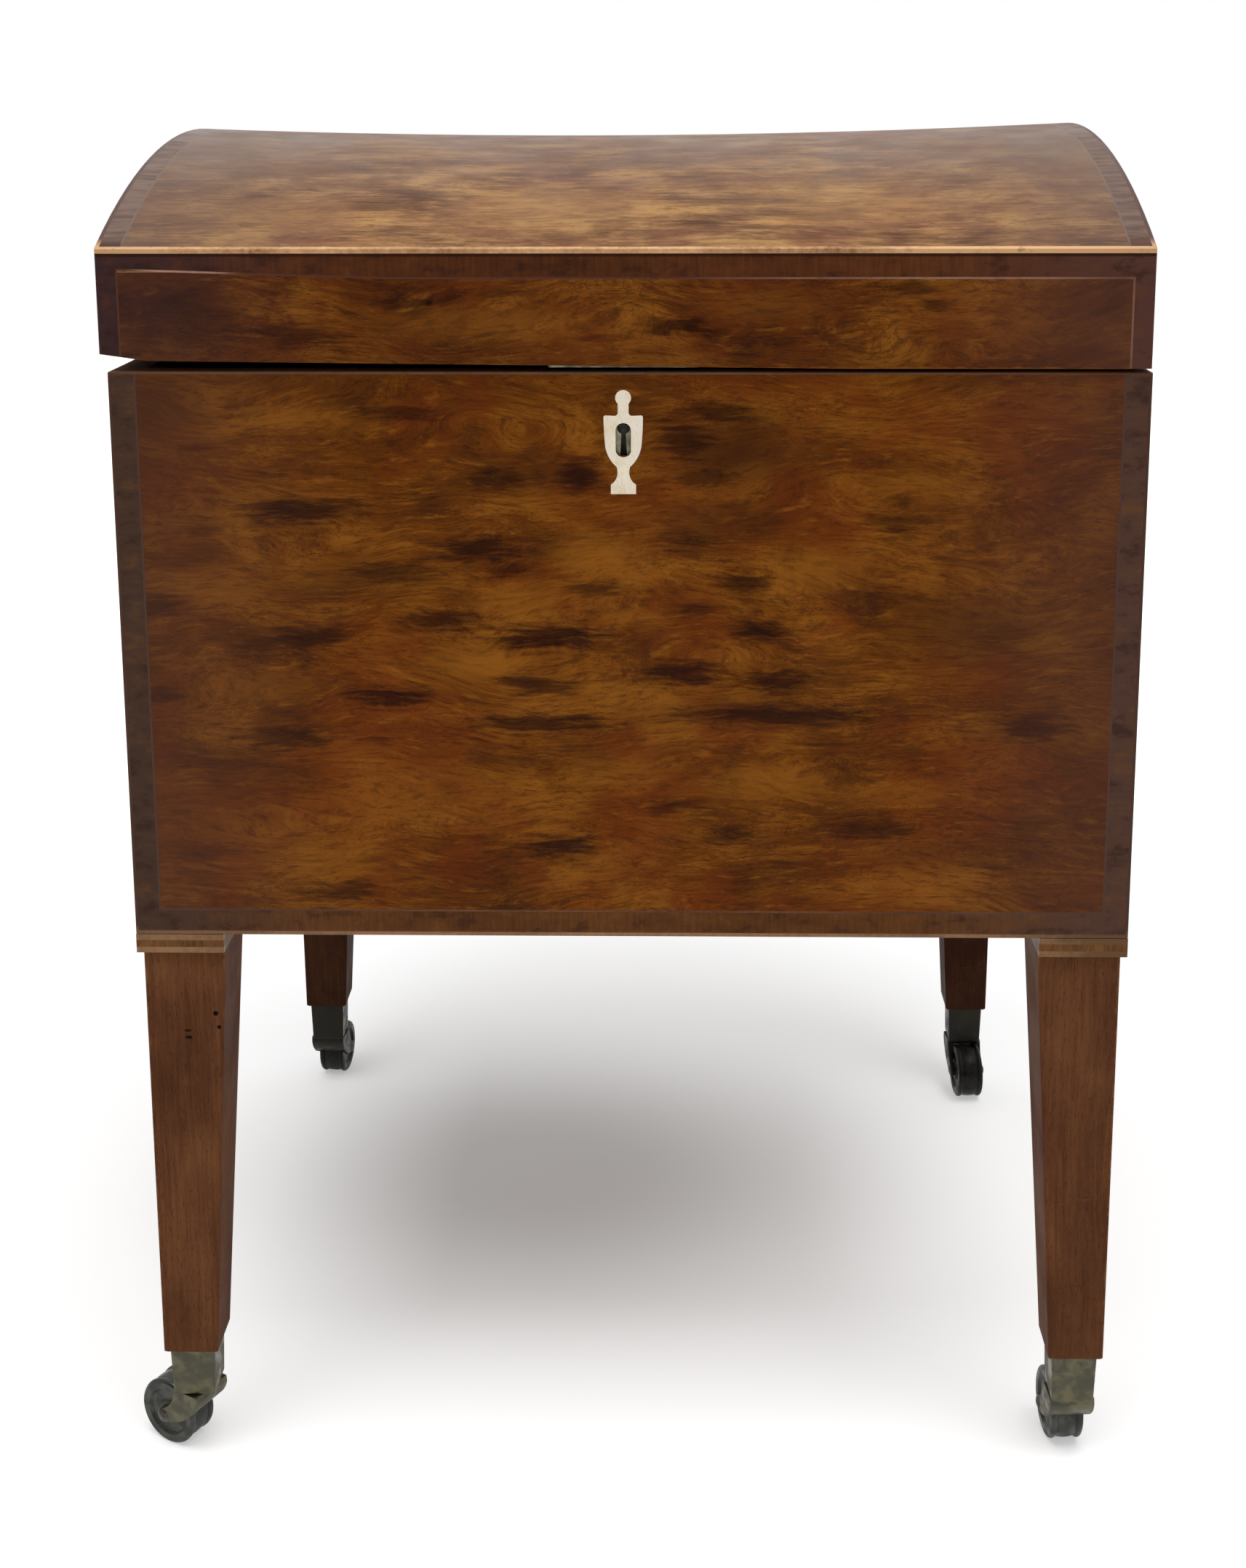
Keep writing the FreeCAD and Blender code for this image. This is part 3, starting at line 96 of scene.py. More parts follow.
class Wiring:
    """One node tree, and the few kinds of node that these finishes need."""

    def __init__(self, tree):
        self.tree = tree

    def add(self, kind, inputs=(), **settings):
        made = self.tree.nodes.new(kind)
        for name, value in settings.items():
            setattr(made, name, value)
        for name, value in dict(inputs).items():
            self.feed(made.inputs[name], value)
        return made

    def feed(self, socket, value):
        if isinstance(value, bpy.types.NodeSocket):
            self.tree.links.new(value, socket)
        elif socket.type == "RGBA" and len(value) == 3:
            socket.default_value = tone(*value)
        else:
            socket.default_value = value

    def give(self, **values):
        """Feeds the results of a group."""
        for name, value in values.items():
            self.feed(self.results[name], value)

    def math(self, operation, first, second=0.0, third=0.0):
        made = self.add("ShaderNodeMath", operation=operation)
        for socket, value in zip(made.inputs, (first, second, third)):
            self.feed(socket, value)
        return made.outputs[0]

    def times(self, first, second):
        return self.math("MULTIPLY", first, second)

    def plus(self, first, second):
        return self.math("ADD", first, second)

    def minus(self, first, second):
        return self.math("SUBTRACT", first, second)

    def larger(self, first, second):
        return self.math("MAXIMUM", first, second)

    def sway(self, value, noise, amount):
        """Moves a value up and down by a noise that is centred on a half."""
        return self.math("MULTIPLY_ADD", self.minus(noise, 0.5), amount, value)

    def vector(self, operation, first, second=(0, 0, 0), size=1.0):
        made = self.add("ShaderNodeVectorMath", operation=operation)
        self.feed(made.inputs[0], first)
        if operation == "SCALE":
            self.feed(made.inputs["Scale"], size)
        else:
            self.feed(made.inputs[1], second)
        return made.outputs["Value" if operation in ("LENGTH", "DOT_PRODUCT") else "Vector"]

    def stretch(self, place, factors):
        return self.vector("MULTIPLY", place, factors)

    def shrink(self, place, size):
        return self.vector("SCALE", place, size=self.math("DIVIDE", 1.0, size))

    def offset(self, place, origin):
        return self.vector("SUBTRACT", place, origin)

    def axes(self, vector):
        return self.add("ShaderNodeSeparateXYZ", {"Vector": vector}).outputs

    def noise(self, where, scale=1.0, detail=2.0, rough=0.5, output="Fac"):
        values = {"Vector": where, "Scale": scale, "Detail": detail, "Roughness": rough}
        return self.add("ShaderNodeTexNoise", values).outputs[output]

    def fade(self, value, start, end, low=0.0, high=1.0):
        """Runs smoothly from low at start to high at end."""
        made = self.add("ShaderNodeMapRange", interpolation_type="SMOOTHSTEP")
        for socket, number in zip(made.inputs, (value, start, end, low, high)):
            self.feed(socket, number)
        return made.outputs["Result"]

    def mix(self, amount, first, second, kind="MIX"):
        made = self.add("ShaderNodeMix", data_type="RGBA", blend_type=kind)
        for place, value in ((0, amount), (6, first), (7, second)):
            self.feed(made.inputs[place], value)
        return made.outputs[2]

    def tint(self, colour, other, mask, most):
        """Mixes another colour in where the mask is, at most by the share given."""
        return self.mix(self.times(mask, most), colour, other)

    def ramp(self, value, *stops):
        made = self.add("ShaderNodeValToRGB", {"Fac": value})
        points = made.color_ramp.elements
        while len(points) < len(stops):
            points.new(0.5)
        for point, (place, colour) in zip(points, stops):
            point.position = place
            point.color = tone(*colour)
        return made.outputs["Color"]

    def use(self, group, **values):
        """Places a group in this tree and gives its outputs."""
        made = self.add("ShaderNodeGroup", node_tree=bpy.data.node_groups[group])
        for name, value in values.items():
            self.feed(made.inputs[name], value)
        return made.outputs


VECTORS = {"Place", "Grain", "Turn", "Slide", "Centre", "Half", "Low", "High"}


def new_group(name, inputs, outputs):
    """A node group with named sockets: its nodes, and what it is given, in order."""
    net = Wiring(bpy.data.node_groups.new(name, "ShaderNodeTree"))
    for titles, way in ((inputs, "INPUT"), (outputs, "OUTPUT")):
        for title in titles.split():
            kind = "NodeSocketVector" if title in VECTORS else "NodeSocketFloat"
            net.tree.interface.new_socket(title, in_out=way, socket_type=kind)
    given = net.add("NodeGroupInput").outputs
    net.results = net.add("NodeGroupOutput").inputs
    print("group:", name)
    return net, [given[title] for title in inputs.split()]


print("dark brown on screen is", [round(v, 4) for v in tone(78, 44, 22)])

# %% [markdown]
# ## Where on the board: measuring in millimetres
#
# Every part's mesh is measured from one point under the chest, so a shader's
# object coordinates say exactly where on the chest a point lies, and they
# stay with a part when the lid opens or a wheel turns. They could be used as
# they are, in metres. In millimetres each number in a finish is a size that
# can be checked with a ruler, so the first group rescales them, and turns
# them until the grain runs along X whatever way the board was laid.

# %% Group: along the grain
MM_IN_METRE = 1000
net, (turn, slide) = new_group("along the grain", "Turn Slide", "Place Grain")
metres = net.add("ShaderNodeTexCoord").outputs["Object"]
place = net.vector("SCALE", metres, size=MM_IN_METRE)
turned = net.add("ShaderNodeMapping", {
    "Vector": net.vector("ADD", place, slide), "Rotation": turn}).outputs["Vector"]
net.give(Place=place, Grain=turned)

# %% [markdown]
# ## Grain that wanders
#
# Mahogany fibres run along the board but are never straight. A wave texture
# gives neat stripes that look printed. Pushing the coordinates sideways by a
# slow noise, before any fibre is drawn, bends everything that follows
# together, as a real knot or branch does: fibres, pores and dark marks.

# %% Group: wandering grain
net, (grain, size, wander) = new_group("wandering grain", "Grain Size Wander", "Grain")
slow = net.shrink(net.stretch(grain, (0.45, 1.0, 1.0)), size)
push = net.noise(slow, detail=2.0, rough=0.45, output="Color")
push = net.stretch(net.offset(push, (0.5, 0.5, 0.5)), (0.6, 2.0, 2.0))
push = net.vector("SCALE", push, size=wander)
net.give(Grain=net.vector("ADD", grain, push))

# %% [markdown]
# ## Fibres and pores
#
# Two things are seen close to: streaks, where bundles of fibre differ in
# colour, and pores, the short dark dashes where the saw opened the vessels.
# Both are noise squeezed hard across the grain. Streaks use soft noise at
# two sizes. Pores keep only the peaks of a finer one, so they stay separate.

# %% Group: fibres
net, (grain, width, pore) = new_group("fibres", "Grain Width Pore", "Streaks Pores Height")
broad = net.shrink(net.stretch(grain, (0.035, 1.0, 1.0)), width)
fine = net.shrink(net.stretch(grain, (0.12, 4.0, 4.0)), width)
broad = net.noise(broad, detail=4.0, rough=0.6)
fine = net.noise(fine, detail=2.0, rough=0.6)
streaks = net.plus(net.times(broad, 0.62), net.times(fine, 0.38))
dash = net.shrink(net.stretch(grain, (0.30, 3.4, 3.4)), pore)
pores = net.fade(net.noise(dash, detail=1.0, rough=0.4), 0.62, 0.70)
height = net.minus(net.times(streaks, 0.4), net.times(pores, 0.6))
net.give(Streaks=streaks, Pores=pores, Height=height)

# %% [markdown]
# ## Swirls and glints
#
# Between the plums the fibres curl, as water does round stones. Close to,
# that shows as thin dark contour lines, and as small glints where fibres
# turn their cut ends away from the eye. The lines are where a strongly
# warped noise passes a few chosen levels, like the height lines of a map.

# %% Group: swirls
net, (grain, size) = new_group("swirls", "Grain Size", "Lines Glints Mottle")
CONTOURS = 8.0
scaled = net.shrink(net.stretch(grain, (0.45, 1.0, 1.0)), size)
relief = net.add("ShaderNodeTexNoise", {
    "Vector": scaled, "Detail": 2.0, "Roughness": 0.4, "Distortion": 1.1})
levels = net.math("FRACT", net.times(relief.outputs["Fac"], CONTOURS))
lines = net.fade(net.math("ABSOLUTE", net.minus(levels, 0.5)), 0.20, 0.02)
shown = net.fade(net.noise(scaled, 0.9, detail=3.0), 0.42, 0.62)
small = net.stretch(grain, (0.05, 0.27, 0.27))
net.give(
    Lines=net.times(lines, shown),
    Glints=net.fade(net.noise(small, detail=4.0, rough=0.65), 0.54, 0.74),
    Mottle=net.noise(small, 1.7, detail=4.0, rough=0.7))

# %% [markdown]
# ## Plum figure
#
# Plum-pudding mahogany has dark lens shapes, a few centimetres long, lying
# along the grain like plums in a pudding. Voronoi cells give one centre per
# cell, and the distance to it, stretched along the grain, is a lens. Fibre
# noise added to that distance gives the lens ragged ends, and a random
# number per cell leaves most cells empty.

# %% Group: plum figure
net, (grain, length, share) = new_group("plum figure", "Grain Length Share", "Plums")
cell = net.shrink(net.stretch(grain, (1.0, 3.6, 3.6)), length)
voronoi = net.add("ShaderNodeTexVoronoi", {"Vector": cell, "Scale": 1.0, "Randomness": 0.9})
ragged = net.noise(net.stretch(grain, (0.07, 0.75, 0.75)), detail=3.0, rough=0.6)
reach = net.sway(voronoi.outputs["Distance"], ragged, 0.75)
lens_shape = net.fade(reach, 0.46, 0.14)
lot = net.axes(voronoi.outputs["Color"])
kept = net.fade(lot[0], share, net.minus(share, 0.12))
strength = net.fade(lot[1], 0.0, 1.0, 0.45, 1.0)
net.give(Plums=net.times(net.times(lens_shape, kept), strength))

# %% [markdown]
# ## One mark, placed by hand
#
# Some marks have a definite place: the darkest plums of a chosen sheet of
# veneer, a length of string that still shows, a beetle's hole. Chance would
# never put them there. This group draws one soft ellipse at a given place,
# and adds it to the marks before it, so that marks can be strung together
# like beads.

# %% Group: one mark
net, (before, grain, centre, half, ragged, edge, strength) = new_group(
    "one mark", "Before Grain Centre Half Ragged Edge Strength", "Marks")
away = net.vector("DIVIDE", net.offset(grain, centre), half)
reach = net.plus(net.vector("LENGTH", away), ragged)
soft = net.fade(reach, 1.15, edge)
mark = net.times(soft, strength)
net.give(Marks=net.larger(mark, before))

# %% [markdown]
# ## Worn edges
#
# Hands, dusters and doorways wear the polish off edges first. Cycles can
# find edges from the mesh (the Pointiness value), but that changes with how
# finely the mesh is cut. These boards are plain boxes, so their edges are
# found by measuring: of a point's three distances to the box's faces, one is
# zero on a face, and two are near zero at an edge. The second smallest
# distance is therefore the distance to the nearest edge. Noise breaks the
# line up so that it doesn't look drawn.

# %% Group: worn edges
net, (place, low, high, reach) = new_group("worn edges", "Place Low High Reach", "Worn Near")
near = net.vector("MINIMUM", net.offset(place, low), net.offset(high, place))
x, y, z = net.axes(near)[:3]
second = net.larger(net.math("MINIMUM", x, y), net.math("MINIMUM", net.larger(x, y), z))
broken = net.noise(place, 0.11, detail=5.0, rough=0.65)
uneven = net.times(reach, net.fade(broken, 0.35, 0.72, 0.1, 1.6))
# Near rises towards an edge: the veneer darkens by it as painted shade along its edges, the bone yellows by
# it
net.give(
    Worn=net.fade(net.math("DIVIDE", second, uneven), 1.0, 0.25),
    Near=net.fade(second, net.times(reach, 14.0), 0.0))

# %% [markdown]
# ## Handling
#
# Two centuries of dusting leave fine scratches in every direction, and
# uneven wax leaves duller and glossier clouds. A scratch is where a stretched
# noise crosses one exact value, because a contour line is thin and wanders.
# Two sets at different angles are enough. A second noise hides most of each
# line, so that scratches start and stop.

# %% Group: handling
net, (place,) = new_group("handling", "Place", "Scratches Smears")
lines = []
for angle, spread in ((0.5, (0.006, 0.05, 0.05)), (-0.9, (0.05, 0.008, 0.05))):
    leaned = net.add("ShaderNodeMapping", {
        "Vector": place, "Rotation": (angle, angle, angle), "Scale": spread}).outputs["Vector"]
    contour = net.math("ABSOLUTE", net.minus(net.noise(leaned, 3.0, detail=1.0), 0.5))
    shown = net.fade(net.noise(place, 0.05 + abs(angle) / 50, detail=1.0), 0.56, 0.66)
    lines.append(net.times(net.fade(contour, 0.003, 0.0005), shown))
net.give(Scratches=net.larger(*lines), Smears=net.noise(place, 0.028, detail=5.0, rough=0.6))

# %% [markdown]
# ## Waxed wood: the common part
#
# Every veneered board has the same build: a skin of figured wood on its
# outside, plain wood wherever the board's core shows, wax over both. The
# skin could be a separate thin mesh. Here one material paints both, by the
# way the surface faces, because the veneer is only a millimetre thick.
#
# The colour is laid down as the wood grew: slow clouds of tone first, then
# streaks and pores, then plums, then wear. Each coat only darkens or
# lightens what lies under it, so the figure stays one piece of wood.

# %% A material being wired
ALONG_X, ALONG_Y, ALONG_Z = (0, 0, 0), (0, 0, math.radians(90)), (0, math.radians(90), 0)


class Finish(Wiring):
    """A new material: its nodes, its shader's even values, and where on the chest a point is."""

    def __init__(self, name, gloss, turn=ALONG_X, slide=(0, 0, 0),
                 coat=0.0, coat_gloss=0.2, specular=0.5, metal=0.0):
        self.material = bpy.data.materials.new(name)
        self.material.use_nodes = True
        super().__init__(self.material.node_tree)
        self.shader = self.material.node_tree.nodes["Principled BSDF"]
        for socket, value in (("Roughness", gloss), ("Coat Weight", coat), ("Coat Roughness", coat_gloss),
                              ("Specular IOR Level", specular), ("Metallic", metal)):
            self.shader.inputs[socket].default_value = value
        where = self.use("along the grain", Turn=turn, Slide=slide)
        self.place, self.grain = where["Place"], where["Grain"]

    def wander(self, grain, size, reach):
        return self.use("wandering grain", Grain=grain, Size=size, Wander=reach)["Grain"]

    def handled(self):
        return self.use("handling", Place=self.place)

    def edges(self, low, high, reach):
        return self.use("worn edges", Place=self.place, Low=low, High=high, Reach=reach)

    def surface(self, colour, rough, height, depth):
        """Feeds colour, roughness and bump. Depth is how deep a full step is, in millimetres."""
        bump = self.add("ShaderNodeBump", {
            "Height": height, "Strength": 1.0, "Distance": depth / MM_IN_METRE})
        for socket, value in (("Base Color", colour), ("Roughness", rough), ("Normal", bump.outputs[0])):
            self.feed(self.shader.inputs[socket], value)
        return self.material


def wood_colour(net, grain, tones, cloud, width, streaks, pores, spread=1.0):
    """The colour of a sheet of wood from its slow clouds, streaks and pores, and its height."""
    dark, middle, light = tones[:3]
    middle_at, dark_below, light_above = 0.47, 0.17 * spread, 0.16 * spread
    slow = net.vector("SCALE", net.stretch(grain, (0.5, 1.0, 1.0)), size=1 / cloud)
    clouds = net.noise(slow, detail=4.0, rough=0.55)
    fibres = net.use("fibres", Grain=grain, Width=width, Pore=1.0)
    colour = net.ramp(net.sway(clouds, fibres["Streaks"], streaks), (middle_at - dark_below, dark),
                      (middle_at, middle), (middle_at + light_above, light))
    return net.mix(net.times(fibres["Pores"], pores), colour, dark, "MULTIPLY"), fibres["Height"]


def add_marks(net, grain, marks, edge, ragged=0.0):
    """Strings listed marks together: each is a centre, half sizes and a strength."""
    total = 0.0
    for centre, half, strength in marks:
        total = net.use("one mark", Before=total, Grain=grain, Centre=centre, Half=half,
                        Ragged=ragged, Edge=edge, Strength=strength)["Marks"]
    return total


def dress_part(name, material):
    for slot in parts[name].material_slots:
        slot.material = material


def box_mm(name):
    """The corners of a part's box, in millimetres."""
    return [tuple(MM_IN_METRE * v for v in corner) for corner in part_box(name)]


print("the front board's box:", [[round(v, 1) for v in corner] for corner in box_mm("case_front")])

# %% [markdown]
# ## The carcass wood
#
# Inside, the boards are plain straight-grained mahogany, never waxed and a
# little dusty. It is made first, as a function, because each veneered board
# shows it on its inner face. Dry wood scatters light widely, so it is rough
# and has no coat.

# %% Plain wood inside
plain_tones = ((94, 60, 39), (122, 81, 53), (140, 97, 66))


def plain_wood(net, grain):
    return wood_colour(net, grain, plain_tones, cloud=45.0, width=1.8, streaks=0.8, pores=0.6)


def paint_plain(name, turn, slide):
    net = Finish(name, 0.72, turn, slide, specular=0.25)
    grain = net.wander(net.grain, 70.0, 7.0)
    colour, height = plain_wood(net, grain)
    smears = net.handled()["Smears"]
    dusty = net.mix(net.fade(smears, 0.45, 0.75, 0.0, 0.22), colour, (150, 130, 110))
    return net.surface(dusty, net.fade(smears, 0.3, 0.7, 0.62, 0.82), height, 0.10)


dress_part("case_bottom", paint_plain("case bottom wood", ALONG_X, (50, 20, 0)))
print("plain wood tones:", len(plain_tones))

# %% [markdown]
# ## The figure of the veneer
#
# The figure is built in the order in which the eye sorts it out. Slow clouds
# and streaks come first, some of them redder. Then come the glints and the
# curled lines between the plums, then golden and dark patches, and last the
# plums. The colour is greyer and darker towards both ends of the front, and of the dome.

# %% Figure
veneer_tones = ((62, 29, 6), (106, 56, 9), (143, 86, 22), (110, 45, 10))
plum_tone = (116, 98, 100)
end_tones = ((80, 50, 38), (78, 50, 40))


def figured(net, grain, tones, curl, cloud, spread):
    """A sheet's colour without its marks, its height, and the mottle that breaks up the marks."""
    colour, height = wood_colour(net, grain, tones, cloud, width=2.0, streaks=0.7, pores=0.45, spread=spread)
    swirls = net.use("swirls", Grain=grain, Size=38.0)
    redder = net.fade(net.noise(net.grain, 0.022, detail=3.0), 0.44, 0.62, 0.0, 0.5)
    colour = net.mix(redder, colour, tones[3])
    colour = net.tint(colour, tones[2], swirls["Glints"], 0.75)
    colour = net.mix(net.fade(swirls["Mottle"], 0.50, 0.34, 0.0, 0.55), colour, tones[0])
    return net.tint(colour, tones[0], swirls["Lines"], curl), height, swirls["Mottle"]


def add_plums(net, colour, grain, mottle, tones, plums, lights, shades, share):
    """Lays patches and plums on a colour: those listed, and a share of plums by chance."""
    # marks follow the wander less than the fibres do, so that they stay where they are put
    near_grain = net.wander(net.place, 9.0, 2.6)
    if lights:
        golden = add_marks(net, near_grain, lights, edge=0.0)
        colour = net.tint(colour, tones[2], golden, net.fade(mottle, 0.36, 0.60, 0.55, 1.0))
    if shades:
        colour = net.mix(add_marks(net, near_grain, shades, edge=0.0), colour, tones[0])
    by_chance = net.use("plum figure", Grain=grain, Length=24.0, Share=share)["Plums"]
    tufts = net.noise(net.stretch(near_grain, (0.045, 0.50, 0.50)), detail=4.0, rough=0.65)
    ragged = net.times(net.minus(tufts, 0.5), 2.0)
    placed = add_marks(net, near_grain, plums, edge=0.25, ragged=ragged) if plums else 0.0
    return net.mix(net.larger(net.times(by_chance, 0.6), placed), colour, plum_tone, "MULTIPLY")


def grey_ends(net, colour, ends, start=115.0, most=0.58, front_only=True):
    """Mixes a colour with a greyer one towards the left end, and another towards the right."""
    half_width, behind_front, on_front = 232.0, -190.0, -198.0
    across, back = net.axes(net.place)[:2]
    reach = net.fade(back, behind_front, on_front, 0.0, most) if front_only else most
    for out, grey in ((-half_width, ends[0]), (half_width, ends[1])):
        near = net.fade(across, math.copysign(start, out), out)
        colour = net.tint(colour, grey, near, reach)
    return colour


print("veneer tones:", len(veneer_tones))

# %% [markdown]
# ## A veneered board
#
# One function makes the veneer of any board, because a cabinetmaker cuts
# them all from one log. What differs is which way the grain runs, which way
# the show face looks, and the marks that this sheet happens to have. The
# dark plums of the front are placed one by one, since they are what the eye
# meets first; on the other boards chance places them.

# %% A veneered board
# heights in millimetres where the dome's painted sheen starts and where it is full
RIDGE_FROM, RIDGE_TO = 606.0, 642.0


def veneer(part, face, turn, slide, name=None, tones=veneer_tones, plums=(), lights=(), shades=(),
           share=0.3, gloss=0.36, wander=(52.0, 26.0), curl=0.42, ends=end_tones, ridge_sheen=None,
           spread=1.3, cloud=26.0, past=((0, 0, 0), (0, 0, 0))):
    """Waxed figured veneer on the side of a part that looks along face, plain wood elsewhere."""
    low, high = (tuple(Vector(corner) + Vector(more)) for corner, more in zip(box_mm(part), past))
    net = Finish(name or part.replace("_", " ") + " veneer", gloss, turn, slide, specular=0.05)
    grain = net.wander(net.grain, *wander)
    colour, height, mottle = figured(net, grain, tones, curl, cloud, spread)
    colour = add_plums(net, colour, grain, mottle, tones, plums, lights, shades, share)
    colour = grey_ends(net, colour, ends, front_only=not ridge_sheen)
    # painted sheen: along the dome's ridge a greyer colour stands for the lamp's reflection
    if ridge_sheen:
        up = net.axes(net.place)[2]
        colour = net.mix(net.fade(up, RIDGE_FROM, RIDGE_TO, 0.0, 0.6), colour, ridge_sheen)
    edges, handled = net.edges(low, high, 1.3), net.handled()
    # painted shade: darker within a short reach of the board's edges, as in a crease
    colour = net.tint(colour, tones[0], edges["Near"], 0.2)
    colour = net.tint(colour, tones[2], edges["Worn"], 0.5)
    colour = net.tint(colour, tones[2], handled["Scratches"], 0.22)
    facing = net.add("ShaderNodeTexCoord").outputs["Normal"]
    outside = net.fade(net.vector("DOT_PRODUCT", facing, face), 0.15, 0.25)
    waxed = net.fade(handled["Smears"], 0.3, 0.7, gloss - 0.07, gloss + 0.10)
    rough = net.plus(waxed, net.times(handled["Scratches"], 0.15))
    dry = net.minus(0.72, rough)
    dress_part(part, net.surface(
        net.mix(outside, plain_wood(net, net.grain)[0], colour),
        net.math("MULTIPLY_ADD", net.minus(1.0, outside), dry, rough),
        net.minus(height, handled["Scratches"]), 0.035))


print("the dome fades from %.0f to %.0f mm above the floor" % (RIDGE_FROM, RIDGE_TO))

# %% [markdown]
# ## The front of the case
#
# The front is the sheet that the maker chose with most care. Its darkest
# plums lie in a loose drift across the middle, with a golden cloud under
# the keyhole. Centres and half sizes are in millimetres on the chest: X to
# the right, Z up from the floor. The depth in Y is made large, so that a
# mark goes right through the veneer.

# %% Case front
THROUGH = 60.0
CASE_FRONT_Y, LID_FRONT_Y = -200.0, -201.0


def upright_marks(face_y, rows):
    """Marks on an upright face, from rows of X, Z, half length, half height and strength."""
    return [((x, face_y, z), (half_length, THROUGH, half_height), strength[0] if strength else 0.9)
            for x, z, half_length, half_height, *strength in rows]


front_plums = upright_marks(CASE_FRONT_Y, [
    (-146, 478, 34, 7), (-69, 460, 24, 8), (-106, 449, 24, 6, 0.7), (-55, 451, 14, 5, 0.7),
    (-214, 433, 18, 7), (-214, 392, 12, 5), (-143, 420, 24, 6, 0.85), (-86, 427, 24, 6, 0.85),
    (-101, 423, 12, 4, 0.5),
    (-36, 420, 32, 9, 1.0), (-16, 442, 16, 5, 0.8), (-53, 416, 12, 4, 0.6), (51, 445, 17, 7, 0.85),
    (59, 422, 16, 6, 0.9), (31, 433, 16, 4, 0.6), (24, 403, 26, 7, 0.95), (68, 399, 22, 7, 0.9),
    (-109, 391, 22, 7, 0.95), (-40, 397, 24, 6, 0.9), (-157, 372, 28, 9, 0.85), (66, 383, 64, 6, 0.85),
    (-38, 379, 42, 6, 0.9), (183, 378, 22, 8, 0.85), (121, 473, 22, 6, 0.7), (-29, 320, 22, 7, 0.95),
    (17, 340, 16, 5, 0.6), (46, 325, 16, 6, 0.75), (111, 329, 24, 7, 0.75), (-138, 297, 24, 7, 0.8),
    (-22, 494, 12, 10, 0.9), (24, 510, 16, 12, 0.8), (-61, 492, 18, 6, 0.7), (35, 493, 18, 6, 0.7),
    (28, 464, 18, 6, 0.7), (-103, 522, 24, 5, 0.7), (-197, 317, 24, 6, 0.6), (40, 522, 26, 6, 0.8),
])
front_lights = upright_marks(CASE_FRONT_Y, [
    (-14, 457, 28, 15, 1.0), (-49, 438, 30, 10, 0.85), (-72, 406, 34, 13, 0.8), (62, 351, 40, 12, 0.85),
    (84, 452, 36, 14, 0.75), (-181, 441, 30, 10, 0.6), (-136, 520, 36, 9, 0.6), (-170, 395, 34, 11, 0.6),
    (129, 489, 34, 11, 0.55), (-136, 314, 40, 12, 0.55), (2, 428, 22, 7, 0.7), (-3, 357, 34, 10, 0.6),
    (-24, 444, 22, 8, 0.6), (-95, 345, 60, 24, 0.3), (120, 346, 44, 10, 0.5), (-140, 448, 34, 10, 0.4),
])
front_shades = upright_marks(CASE_FRONT_Y, [
    (47, 506, 52, 26, 0.8), (-210, 523, 34, 22, 0.7), (153, 424, 52, 26, 0.7), (60, 384, 70, 12, 0.45),
    (-109, 447, 40, 12, 0.4), (39, 476, 40, 13, 0.5), (-45, 494, 34, 16, 0.5), (-147, 476, 40, 12, 0.4),
    (134, 318, 40, 13, 0.45), (-190, 345, 40, 40, 0.2),
])

veneer("case_front", (0, -1, 0), ALONG_X, (310, 0, 40),
       plums=front_plums, lights=front_lights, shades=front_shades, share=0.14)
print("plums placed by hand:", len(front_plums))

# %% [markdown]
# ## The ends and back of the case
#
# The ends are cut from the same log, with the grain running front to back.
# The back stood against a wall: it is the plainest sheet, a shade darker,
# and less worn.

# %% Case ends and back
for side, out in (("left", -1), ("right", 1)):
    veneer("case_" + side, (out, 0, 0), ALONG_Y, (90 * out, 700, 15 * out), share=0.34)
back_tones = ((58, 30, 14), (84, 48, 20), (106, 66, 30), (82, 42, 20))
veneer("case_back", (0, 1, 0), ALONG_X, (-520, 0, 260),
       tones=back_tones, share=0.2, gloss=0.46)
print("case boards finished")

# %% [markdown]
# ## The lid's skirt
#
# Sunlight falls on a lid more than on a front, and hands rest on it. Its
# skirt is redder than the case, and duller at both ends of the front. Each
# skirt board is measured as if it went on upwards, so that no worn edge is
# drawn where it meets the dome.

# %% Lid skirt
lid_tones = ((54, 25, 9), (98, 50, 11), (138, 83, 24), (94, 40, 12))
lid_ends = ((60, 41, 40), (86, 56, 46))
PAST_THE_SKIRT = ((0, 0, 0), (0, 0, 80))
front_marks = {
    "plums": upright_marks(LID_FRONT_Y, [
        (21, 560, 21, 5), (37, 558, 10, 3), (122, 577, 20, 4, 0.7), (135, 569, 12, 3, 0.7),
        (-87, 571, 3, 2), (-148, 557, 24, 7, 0.5)]),
    "lights": upright_marks(LID_FRONT_Y, [
        (-60, 562, 70, 12, 0.55), (60, 570, 40, 10, 0.4), (170, 560, 30, 10, 0.3)]),
    "shades": upright_marks(LID_FRONT_Y, [(-195, 565, 32, 24, 0.6), (200, 565, 30, 22, 0.5)]),
}
for side, face, turn in (("front", (0, -1, 0), ALONG_X), ("back", (0, 1, 0), ALONG_X),
                         ("left", (-1, 0, 0), ALONG_Y), ("right", (1, 0, 0), ALONG_Y)):
    veneer("lid_" + side, face, turn, (-40, 330, 95), tones=lid_tones, share=0.25,
           ends=lid_ends, past=PAST_THE_SKIRT, **(front_marks if side == "front" else {}))
print("marks on the lid's front:", sum(len(marks) for marks in front_marks.values()))

# %% [markdown]
# ## The dome
#
# The dome has faded to a greyer brown with golden islands where the old
# colour survives. Along the ridge a greyer colour is mixed in, a painted
# sheen that stands for the lamp's reflection. Its long edges belong to the
# skirt, so the box in which it is measured is wider and deeper than the
# board, and only its two ends look worn.

